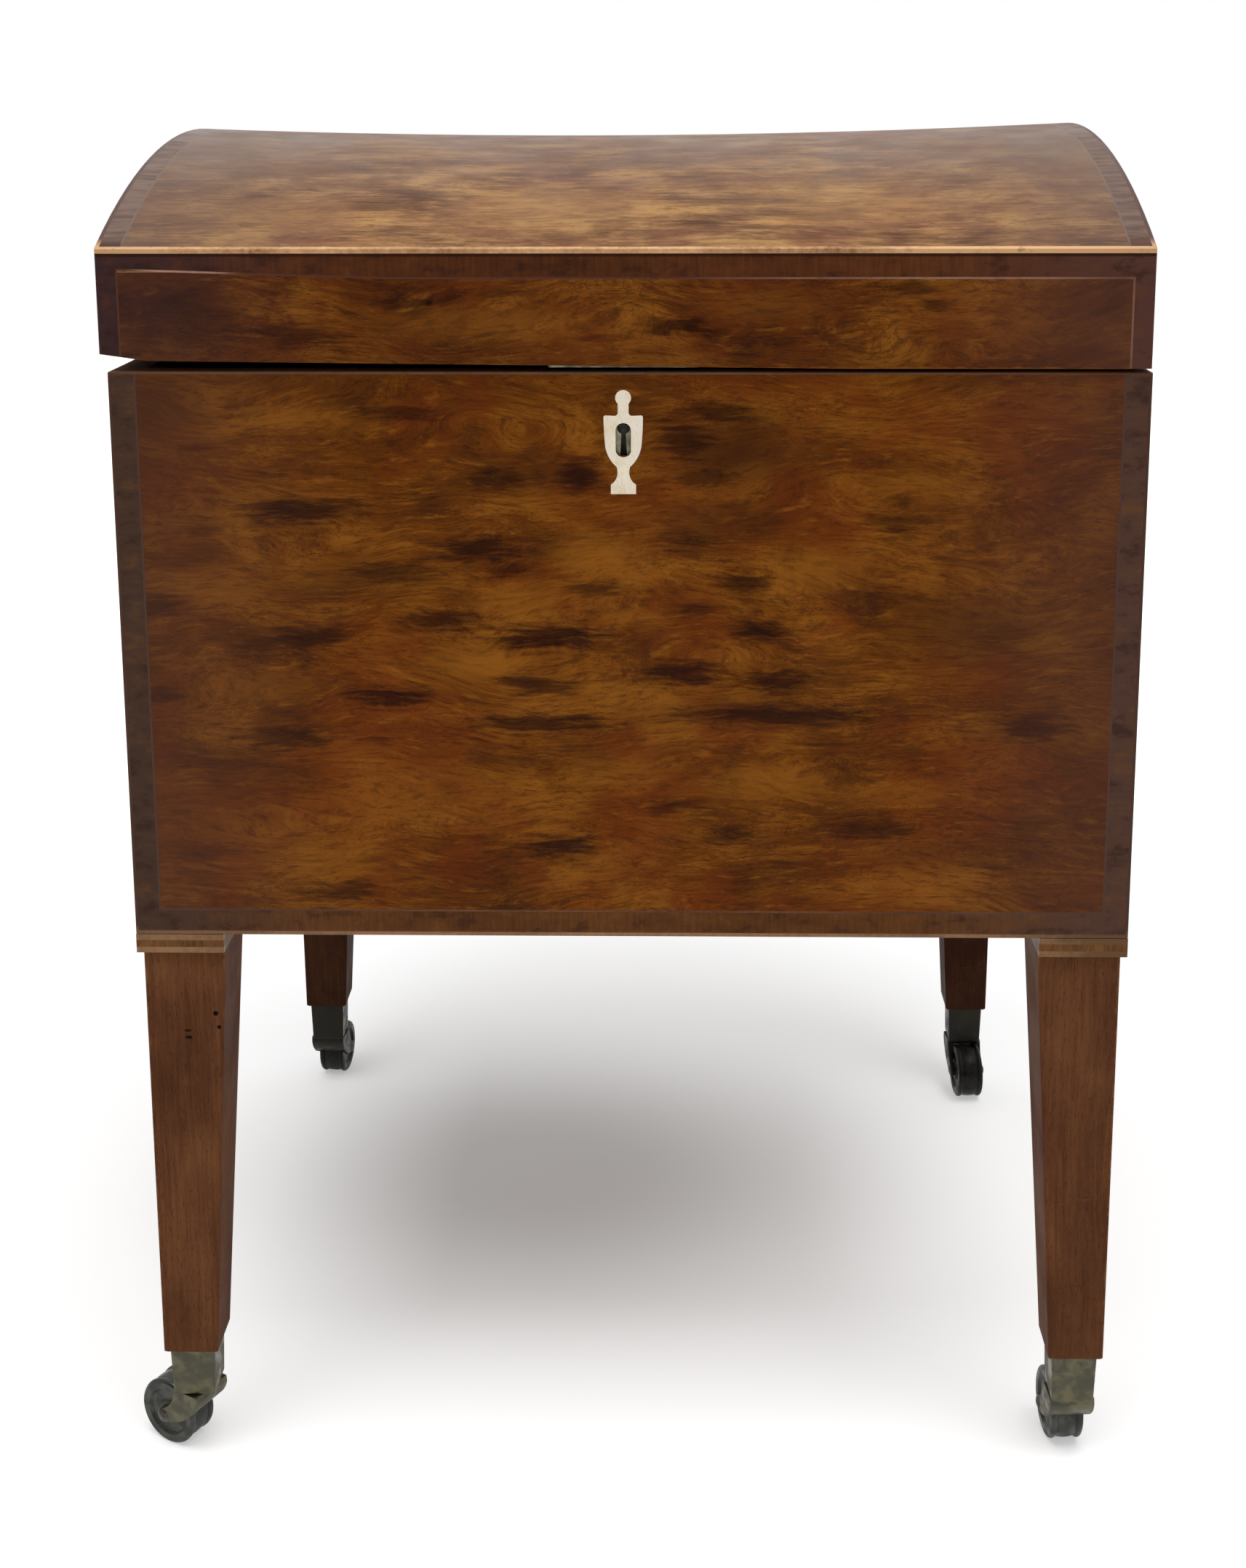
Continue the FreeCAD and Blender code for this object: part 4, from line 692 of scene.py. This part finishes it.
# %% Dome
dome_tones = ((82, 53, 36), (119, 83, 55), (164, 124, 78), (116, 75, 56))
dome_ends = ((102, 83, 74), (104, 84, 74))
PAST_THE_DOME = ((0, -60, -60), (0, 60, 60))
DOME_MIDDLE_Z, THROUGH_DOME = 620.0, 200.0


def dome_marks(rows):
    """Marks on the dome, from rows of X, Y, half length, half width and strength."""
    return [((x, y, DOME_MIDDLE_Z), (half_length, half_width, THROUGH_DOME), strength)
            for x, y, half_length, half_width, strength in rows]


veneer("lid_top", (0, 0, 1), ALONG_X, (75, 150, -60), name="dome veneer", tones=dome_tones,
       lights=dome_marks([(-40, -165, 60, 34, 0.6), (-160, -170, 50, 22, 0.5), (95, -150, 60, 36, 0.5),
                          (-110, -60, 60, 30, 0.3)]),
       shades=dome_marks([(-90, 20, 70, 60, 0.35), (200, -60, 30, 100, 0.35)]),
       share=0.16, gloss=0.40, wander=(66.0, 11.0), curl=0.30, spread=1.05, cloud=17.0,
       ends=dome_ends, ridge_sheen=(117, 99, 89), past=PAST_THE_DOME)
print("lid parts:", [name for name in parts if name.startswith("lid_")])

# %% [markdown]
# ## Legs
#
# The legs are solid mahogany, straight in the grain, because a leg cut
# across it would snap. They are darker towards the foot, where mops and
# shoes reach them. Furniture beetle left four small holes in one leg. They
# are round flight holes, dark inside, a millimetre or two across, and wear
# has drawn two of them out into short slots.

# %% Legs
leg_tones = ((64, 36, 22), (94, 57, 36), (120, 78, 48))
# the back legs take a darker copy of the leg tones: painted shade
shaded_back_leg_tones = ((44, 25, 17), (64, 38, 25), (82, 52, 33))
LEG_FRONT_Y, HOLE_DEPTH = -197.5, 8.0
beetle_holes = [((x, LEG_FRONT_Y, z), (half_width, HOLE_DEPTH, half_height), strength)
                for x, z, half_width, half_height, strength in (
                    (-195.0, 235.5, 1.3, 1.3, 1.0), (-193.7, 228.6, 1.0, 1.0, 1.0),
                    (-208.6, 226.8, 1.7, 0.7, 0.8), (-208.2, 223.4, 1.9, 0.9, 0.9))]


def paint_leg(name, tones, holes=()):
    low, high = box_mm(name)
    net = Finish(name.replace("_", " ") + " wood", 0.5, ALONG_Z, (low[0], low[1] * 3, 0), specular=0.02)
    grain = net.wander(net.grain, 80.0, 6.0)
    colour, height = wood_colour(
        net, grain, tones, cloud=38.0, width=1.7, streaks=0.7, pores=0.4, spread=1.7)
    uneven, up_leg = net.noise(net.place, 0.06, detail=4.0), net.axes(net.place)[2]
    scuffed = net.fade(net.math("MULTIPLY_ADD", uneven, 60.0, up_leg), 130, 60)
    colour = net.tint(colour, (52, 32, 24), scuffed, 0.45)
    edges, handled = net.edges(low, high, 1.5), net.handled()
    rubbed = net.larger(net.times(edges["Worn"], 0.45), net.times(handled["Scratches"], 0.3))
    colour = net.mix(rubbed, colour, (138, 98, 66))
    if holes:
        # inside each hole the colour is nearly black: painted shade of the hole, with a dip in the bump
        bored = add_marks(net, net.place, holes, edge=0.6)
        colour = net.mix(bored, colour, (14, 9, 7))
        height = net.math("MULTIPLY_ADD", bored, -12.0, height)
    return net.surface(colour, net.fade(handled["Smears"], 0.3, 0.7, 0.44, 0.60), height, 0.05)


legs = [name for name in parts if name.startswith("leg_") and "collar" not in name]
for name in legs:
    tones = shaded_back_leg_tones if "back" in name else leg_tones
    dress_part(name, paint_leg(name, tones, beetle_holes if name == "leg_front_left" else ()))
print("legs:", legs)

# %% [markdown]
# ## Partitions inside
#
# The bottle cells are thin plain boards. They rub against glass, so their
# top edges are paler than their faces, which the edge group shows.

# %% Partitions
def paint_partition(name, turn):
    low, high = box_mm(name)
    net = Finish(name.replace("_", " ") + " wood", 0.66, turn, (low[0] * 2, low[1], 0), specular=0.25)
    colour, height = wood_colour(
        net, net.grain, plain_tones, cloud=50.0, width=2.0, streaks=0.8, pores=0.6)
    colour = net.tint(colour, (176, 132, 92), net.edges(low, high, 2.2)["Worn"], 0.5)
    smears = net.handled()["Smears"]
    colour = net.mix(net.fade(smears, 0.5, 0.8, 0.0, 0.25), colour, (80, 58, 44))
    return net.surface(colour, net.fade(smears, 0.3, 0.7, 0.56, 0.76), height, 0.09)


partitions = [name for name in parts if name.startswith("partition_")]
for name in partitions:
    dress_part(name, paint_partition(name, ALONG_X if "long" in name else ALONG_Y))
print("partitions:", partitions)

# %% [markdown]
# ## Crossbanding
#
# A crossband is a strip of veneer whose grain runs across its width, so its
# fibres meet the board's edge square on. One part holds the bands of all
# four sides, so the shader has to know which way each strip runs. At a
# mitred corner the joint lies at 45 degrees: there the distance to the side
# edge equals the distance to the top or bottom edge. Comparing the two
# distances picks the right strip, and draws the mitre.
#
# The bands on the dome have faded with it, and a dark line is painted just
# below the lid's front edge, as the shadow under that edge.

# %% Crossbanding
LID_EDGE_Z = 594.0


def strip_fibres(net, low, high):
    """Fibres that run across whichever strip a point lies on."""
    near = net.vector("MINIMUM", net.offset(net.place, low), net.offset(high, net.place))
    x, y, z = net.axes(near)[:3]
    upright = net.math("LESS_THAN", net.larger(x, y), z)
    lying = net.stretch(net.grain, (1.0, 1.0, 0.12))
    standing = net.stretch(net.grain, (0.12, 0.12, 1.0))
    picked = net.add("ShaderNodeMix", data_type="VECTOR")
    for socket, value in ((0, upright), (4, lying), (5, standing)):
        net.feed(picked.inputs[socket], value)
    return net.noise(picked.outputs[1], 0.55, detail=4.0, rough=0.65)


def fade_bands_and_paint_shadow(net, colour):
    """Fades the bands on the dome, and paints a line of shadow under the lid's edge."""
    up = net.axes(net.place)[2]
    patches = net.noise(net.stretch(net.place, (0.05, 0.3, 0.3)), detail=4.0, rough=0.6)
    faded = net.ramp(patches, (0.36, (92, 74, 66)), (0.62, (118, 98, 88)))
    colour = net.mix(net.fade(up, LID_EDGE_Z, LID_EDGE_Z + 6, 0.0, 0.9), colour, faded)
    # painted shadow: a dark line just under the lid's front edge
    painted_shadow_line = net.times(net.fade(up, 590.3, 591.1), net.fade(up, 593.4, 592.8))
    return net.tint(colour, (42, 19, 9), painted_shadow_line, 0.8)


def paint_banding(part, tones):
    low, high = box_mm(part)
    net = Finish(part.replace("_", " "), 0.40, ALONG_X, (17, 9, 3), specular=0.06)
    streaks = strip_fibres(net, low, high)
    slow = net.noise(net.place, 0.016, detail=3.0)
    value = net.plus(net.times(streaks, 0.6), net.times(slow, 0.4))
    colour = net.ramp(value, (0.22, tones[0]), (0.5, tones[1]), (0.78, tones[2]))
    colour = grey_ends(net, colour, tones[3:], 120.0, 0.85)
    uneven = net.noise(net.stretch(net.place, (0.06, 0.06, 0.11)), detail=4.0, rough=0.65)
    colour = net.mix(net.fade(uneven, 0.50, 0.34, 0.0, 0.55), colour, (40, 24, 16))
    colour = net.mix(net.fade(uneven, 0.52, 0.70, 0.0, 0.40), colour, tones[2])
    colour = fade_bands_and_paint_shadow(net, colour)
    handled = net.handled()
    colour = net.tint(colour, (112, 76, 50), net.edges(low, high, 1.2)["Worn"], 0.2)
    colour = net.tint(colour, (110, 78, 54), handled["Scratches"], 0.15)
    return net.surface(colour, net.fade(handled["Smears"], 0.3, 0.7, 0.32, 0.50), streaks, 0.03)


for owner, tones in (
        ("case", ((66, 36, 14), (92, 54, 24), (114, 72, 34), (68, 51, 43), (80, 57, 49))),
        ("lid", ((58, 28, 14), (82, 43, 20), (102, 58, 30), (55, 38, 41), (84, 55, 48)))):
    dress_part(owner + "_crossbanding", paint_banding(owner + "_crossbanding", tones))
print("bands: the case's and the lid's")

# %% [markdown]
# ## Stringing
#
# Strings are thin square strips of light wood let into grooves. They were
# once nearly white. Wax and dirt have browned them, least on the lid's long
# front edge, which is rubbed each time the lid is lifted. Each string keeps
# short brighter and duller lengths, so its brightness follows a noise
# stretched along all three directions at once. Some lengths have all but
# vanished under dirt, so a string can be told where it still shows, and
# what colour hides the rest.

# %% Strings
def string(name, dull, bright, balance, shown=(), hidden=None, faded=None):
    """Dresses the part called name and _stringing."""
    net = Finish(name.replace("_", " ") + " string", 0.38, specular=0.12)
    slow = net.noise(net.place, 0.013, detail=4.0, rough=0.6)
    quick = net.noise(net.place, 0.35, detail=3.0, rough=0.6)
    colour = net.ramp(net.sway(slow, quick, 0.35), (balance - 0.14, dull), (balance + 0.12, bright))
    if shown:
        colour = net.mix(add_marks(net, net.place, shown, edge=0.4), hidden, colour)
    if faded:
        up = net.axes(net.place)[2]
        colour = net.mix(net.fade(up, LID_EDGE_Z + 0.5, LID_EDGE_Z + 3), colour, faded)
    grime = net.fade(net.noise(net.place, 0.09, detail=5.0, rough=0.7), 0.60, 0.72)
    colour = net.tint(colour, (52, 32, 22), grime, 0.45)
    dress_part(name + "_stringing", net.surface(colour, net.fade(slow, 0.3, 0.7, 0.46, 0.32), quick, 0.03))


under_edge = [((0, 0, 277), (400, 400, 5), 1.0), ((0, 0, 540), (400, 400, 3), 0.35)]
string("case_edge", (116, 82, 56), (158, 118, 84), 0.50,
       shown=under_edge, hidden=(74, 48, 34))
front_edge = [((0, LID_FRONT_Y, LID_EDGE_Z), (400, 9, 30), 1.0)]
string("lid_edge", (142, 98, 66), (212, 166, 120), 0.46,
       shown=front_edge, hidden=(84, 62, 56))
lying_lengths = [((0, CASE_FRONT_Y, 528), (202, 9, 6), 1.0), ((0, CASE_FRONT_Y, 290), (202, 9, 6), 1.0)]
string("case_inner", (78, 47, 26), (108, 70, 44), 0.55,
       shown=lying_lengths, hidden=(78, 55, 45))
bright_lengths = [((-194, LID_FRONT_Y, 585), (24, THROUGH, 8), 1.0),
                  ((128, LID_FRONT_Y, 580), (96, THROUGH, 9), 0.6),
                  ((219, LID_FRONT_Y, 560), (6, THROUGH, 30), 0.35)]
string("lid_inner", (134, 98, 82), (170, 130, 108), 0.48,
       shown=bright_lengths, hidden=(84, 50, 34), faded=(106, 86, 76))
string("collar", (104, 74, 48), (146, 110, 76), 0.50)
print("strings:", [name for name in parts if "stringing" in name])

# %% [markdown]
# ## Collars
#
# Between the two strings at the top of each leg lies a golden brown strip,
# with its grain across.

# %% Collars
def paint_collar():
    net = Finish("collar wood", 0.42, ALONG_X, (5, 5, 5), specular=0.10)
    fibres = net.noise(net.stretch(net.place, (1.0, 1.0, 0.15)), 0.8, detail=4.0, rough=0.65)
    slow = net.noise(net.place, 0.04, detail=2.0)
    value = net.plus(net.times(fibres, 0.5), net.times(slow, 0.5))
    colour = net.ramp(value, (0.36, (72, 43, 22)), (0.52, (106, 68, 34)), (0.66, (130, 88, 46)))
    return net.surface(colour, net.fade(slow, 0.3, 0.7, 0.36, 0.5), fibres, 0.03)


collar_wood = paint_collar()
collars = [name for name in parts if name.startswith("leg_collar")]
for name in collars:
    dress_part(name, collar_wood)
print("collars:", len(collars))

# %% [markdown]
# ## Bone
#
# Bone is ivory-white, yellower towards its edges where hands' grease has
# soaked in, and it always shows short fine dark flecks, which are the blood
# vessels cut across. That is how it differs from ivory and from plastic.
# Light enters it a little, so a touch of subsurface scattering softens it.

# %% Bone escutcheon
def paint_bone(low, high):
    net = Finish("bone", 0.34, ALONG_Z, coat=0.3, coat_gloss=0.15, specular=0.4)
    net.shader.inputs["Subsurface Weight"].default_value = 0.08
    net.shader.inputs["Subsurface Radius"].default_value = (0.002, 0.0014, 0.0009)
    clouds = net.noise(net.place, 0.10, detail=4.0, rough=0.6)
    colour = net.ramp(
        clouds, (0.34, (240, 222, 190)), (0.50, (252, 242, 222)), (0.7, (254, 248, 236)))
    flecks = net.noise(net.stretch(net.place, (3.2, 3.2, 0.5)), 1.0, detail=1.0)
    colour = net.mix(net.fade(flecks, 0.64, 0.72, 0.0, 0.35), colour, (150, 118, 84))
    colour = net.tint(colour, (214, 186, 146), net.edges(low, high, 1.2)["Near"], 0.25)
    return net.surface(colour, net.fade(clouds, 0.3, 0.7, 0.42, 0.28), flecks, 0.03)


low, high = box_mm("escutcheon")
dress_part("escutcheon", paint_bone(low, high))
print("escutcheon box:", [[round(v, 1) for v in corner] for corner in (low, high)])

# %% [markdown]
# ## Old metal
#
# Brass near a floor goes brown-black, not green: only where it is rubbed
# does yellow metal show. Tarnish is a dull film over the metal, so where it
# lies the surface is rougher and less metallic. One group gives the tarnish
# map and the pits of old casting, and each metal mixes its own colours.

# %% Group: old metal
net, (place, size) = new_group("old metal", "Place Size", "Tarnish Pits Rubs")
scaled = net.shrink(place, size)
film = net.noise(scaled, 1.0, detail=6.0, rough=0.62)
cells = net.add("ShaderNodeTexVoronoi", {"Vector": scaled, "Scale": 7.0})
pits = net.fade(cells.outputs["Distance"], 0.22, 0.05)
some = net.fade(net.noise(scaled, 2.3, detail=1.0), 0.52, 0.62)
rubs = net.noise(net.stretch(scaled, (1.0, 1.0, 4.0)), 3.0, detail=4.0)
net.give(
    Tarnish=net.fade(film, 0.36, 0.62),
    Pits=net.times(pits, some),
    Rubs=net.fade(rubs, 0.60, 0.72))

# %% [markdown]
# ## Which metal is where
#
# The back castors' brass is a darker copy of the front castors', nearly
# black: painted shade, as they stand in the chest's shadow. Screws, pins and bolt are iron.
# The room behind the keyhole is painted black, as shade: there the metal
# gets a black coat that doesn't shine, between two depths measured back
# from the front.

# %% Metals
# depths, back from the front, of the room behind the keyhole that is painted black as shade
LOCK_ROOM = (-194.8, -187.2)


def paint_metal(name, bare, film, rubbed, size=9.0, metal=(0.95, 0.35), rub=0.35, shade_depths=None):
    """Metal from three colours: bare, under tarnish, and rubbed bright."""
    net = Finish(name, 0.34, specular=0.4)
    old = net.use("old metal", Place=net.place, Size=size)
    colour = net.mix(old["Tarnish"], bare, film)
    colour = net.tint(colour, rubbed, old["Rubs"], rub)
    colour = net.tint(colour, (20, 18, 14), old["Pits"], 0.6)
    shine = net.fade(old["Tarnish"], 0.0, 1.0, *metal)
    # painted shade: between the two depths the metal is black and doesn't shine
    if shade_depths:
        back, soft = net.axes(net.place)[1], 0.5
        painted_shade = net.times(net.fade(back, shade_depths[0], shade_depths[0] + soft),
                        net.fade(back, shade_depths[1], shade_depths[1] - soft))
        colour = net.mix(painted_shade, colour, (8, 7, 6))
        shine = net.times(shine, net.minus(1.0, painted_shade))
    net.feed(net.shader.inputs["Metallic"], shine)
    return net.surface(colour, net.fade(old["Tarnish"], 0.0, 1.0, 0.34, 0.62),
                       net.times(old["Pits"], -1.0), 0.06)


castor_brass = paint_metal("castor brass", (94, 89, 69), (78, 75, 60), (112, 104, 80), rub=0.25)
# darker copies for the back castors: painted shade
shaded_castor_brass = paint_metal("unpolished castor brass", (46, 43, 33), (30, 28, 23), (62, 56, 42), rub=0.25)
wheel_brass = paint_metal("wheel brass", (72, 73, 67), (54, 55, 51), (100, 98, 86), rub=0.2)
shaded_wheel_brass = paint_metal("unpolished wheel brass", (34, 33, 30), (22, 21, 20), (50, 48, 42), rub=0.2)
castor_iron = paint_metal("castor iron", (84, 78, 70), (52, 44, 38), (120, 112, 102), size=5.0)
hinge_brass = paint_metal("hinge brass", (176, 142, 84), (120, 94, 54), (206, 174, 112), size=14.0)
lock_brass = paint_metal("lock brass", (172, 168, 140), (132, 128, 104), (190, 182, 150), size=12.0,
                         metal=(0.5, 0.2), shade_depths=LOCK_ROOM)
lock_iron = paint_metal("lock iron", (96, 92, 88), (62, 56, 50), (140, 136, 130), size=6.0, shade_depths=LOCK_ROOM)
for start, front_metal, back_metal in (
        ("castor_cap", castor_brass, shaded_castor_brass), ("castor_horn", castor_brass, shaded_castor_brass),
        ("castor_wheel", wheel_brass, shaded_wheel_brass), ("castor_axle", castor_iron, castor_iron),
        ("lock_", lock_iron, lock_iron), ("link_", lock_iron, lock_iron), ("hinge_", lock_iron, lock_iron),
        ("lock_case", lock_brass, lock_brass), ("hinge_leaf", hinge_brass, hinge_brass)):
    for name in parts:
        if name.startswith(start):
            dress_part(name, back_metal if "back" in name else front_metal)
dress_part("link_plate", lock_brass)
print("metals:", [m.name for m in bpy.data.materials if m.name.endswith(("brass", "iron"))])

# %% [markdown]
# ## Zinc sheet
#
# The floor of the chest is lined with zinc against spilt wine. Rolled zinc
# dulls to a bluish grey bloom, with large faint crystal patches called
# spangle, and rings where wet bottles stood. A Voronoi cell is a good
# crystal, and a ring is a narrow band of distance from a chosen centre.

# %% Zinc lining
RING_RADIUS = 37.0


def paint_zinc(bottles):
    net = Finish("zinc lining", 0.5, specular=0.4, metal=0.8)
    crystals = net.add("ShaderNodeTexVoronoi", {"Vector": net.place, "Scale": 0.09})
    spangle = net.axes(crystals.outputs["Color"])[0]
    bloom = net.noise(net.place, 0.02, detail=5.0, rough=0.6)
    value = net.plus(net.times(spangle, 0.3), net.times(bloom, 0.7))
    colour = net.ramp(
        value, (0.3, (104, 108, 112)), (0.5, (142, 146, 150)), (0.7, (168, 170, 172)))
    rings = 0.0
    for x, y in bottles:
        away = net.stretch(net.offset(net.place, (x, y, 0)), (1.0, 1.0, 0.0))
        off = net.math("ABSOLUTE", net.minus(net.vector("LENGTH", away), RING_RADIUS))
        rings = net.larger(rings, net.fade(off, 2.6, 0.4))
    colour = net.tint(colour, (84, 66, 62), rings, net.fade(bloom, 0.42, 0.55, 0.15, 0.7))
    return net.surface(colour, net.fade(value, 0.3, 0.7, 0.62, 0.42), bloom, 0.2)


dress_part("floor_lining", paint_zinc([(-146, -122), (2, -126), (148, 4), (-140, 128), (12, 118)]))
print("zinc finished")

# %% [markdown]
# ## Floor
#
# The chest stands on a plain white floor that runs out of sight. A white
# floor lit to full white would throw so much light that every colour on the
# chest would wash out. Instead the floor glows a little, and the world is
# bright, only to rays that come from the camera or from a mirror-like
# reflection, and both are lit normally for the rest. The glow is least in
# an oval under the case and grows outwards, so the shadow stays soft and
# the floor reaches white before it ends.

# %% Floor
def seen_directly(net):
    """1 for a ray from the camera, from a glossy surface or through glass."""
    ray = net.add("ShaderNodeLightPath").outputs
    return net.larger(net.larger(ray["Is Camera Ray"], ray["Is Glossy Ray"]), ray["Is Transmission Ray"])


half_floor = 4.0
floor_mesh = bpy.data.meshes.new("floor")
floor_mesh.from_pydata([(x * half_floor, y * half_floor, 0) for x, y in ((-1, -1), (1, -1), (1, 1), (-1, 1))],
                       [], [(0, 1, 2, 3)])
floor = bpy.data.objects.new("floor", floor_mesh)
bpy.context.scene.collection.objects.link(floor)

oval_middle, oval_half = (-70, 70, 0), (270, 200, 1)
net = Finish("white floor", 0.9, specular=0.0)
net.shader.inputs["Base Color"].default_value = tone(243, 243, 243)
from_middle = net.vector("LENGTH", net.vector("DIVIDE", net.offset(net.place, oval_middle), oval_half))
near_glow, far_glow = (0.15, 1.05, 0.11, 0.40), (1.6, 6.4, 0.0, 0.5)
glow = net.plus(net.fade(from_middle, *near_glow), net.fade(from_middle, *far_glow))
glow = net.times(glow, seen_directly(net))
net.feed(net.shader.inputs["Emission Color"], net.mix(glow, (0, 0, 0), (255, 255, 255)))
net.shader.inputs["Emission Strength"].default_value = 1.0
floor.data.materials.append(net.material)
print("floor %.0f m wide" % (2 * half_floor))

# %% [markdown]
# ## Light
#
# The one lamp is a wide soft box, high and a little in front of the
# chest: its shadow falls under the case and slightly behind it, with no
# hard edge. The world fills from all round. To glossy rays, the world is
# white behind the chest, where the backdrop is, and dim on the camera's
# side, where a studio is dark.

# %% Lamp and world
def soft_box(name, where, aim, width, depth, power):
    light = bpy.data.lights.new(name, "AREA")
    light.shape = "RECTANGLE"
    light.size, light.size_y = width, depth
    light.energy = power
    made = bpy.data.objects.new(name, light)
    made.location = where
    made.rotation_mode = "QUATERNION"
    made.rotation_quaternion = (Vector(aim) - Vector(where)).to_track_quat("-Z", "Y")
    bpy.context.scene.collection.objects.link(made)


soft_box("overhead light", (0.05, -0.60, 2.4), (0.0, -0.1, 0.0), width=2.4, depth=1.2, power=44)

ambient = 0.42
world = bpy.data.worlds.new("studio")
world.use_nodes = True
bpy.context.scene.world = world
net = Wiring(world.node_tree)
heading = net.axes(net.add("ShaderNodeTexCoord").outputs["Generated"])[1]
behind = net.fade(heading, -0.35, 0.1, 0.12, 1.0)
seen = seen_directly(net)
camera_ray = net.add("ShaderNodeLightPath").outputs["Is Camera Ray"]
bright = net.larger(camera_ray, behind)
filled = net.times(net.minus(1.0, seen), ambient)
background = world.node_tree.nodes["Background"]
background.inputs["Color"].default_value = (1, 1, 1, 1)
net.feed(background.inputs["Strength"], net.math("MULTIPLY_ADD", seen, bright, filled))
bpy.context.scene.view_settings.view_transform = "Standard"

# %% [markdown]
# ## Last check
#
# A finish is easily forgotten on a small part. A part as it comes from
# model.glb has only a plain shader, so any material with few nodes is named
# here.

# %% Check
FEWEST_NODES = 8
plain = [name for name, part in parts.items()
         if any(len(slot.material.node_tree.nodes) < FEWEST_NODES for slot in part.material_slots)]
print("parts without a finish:", plain)
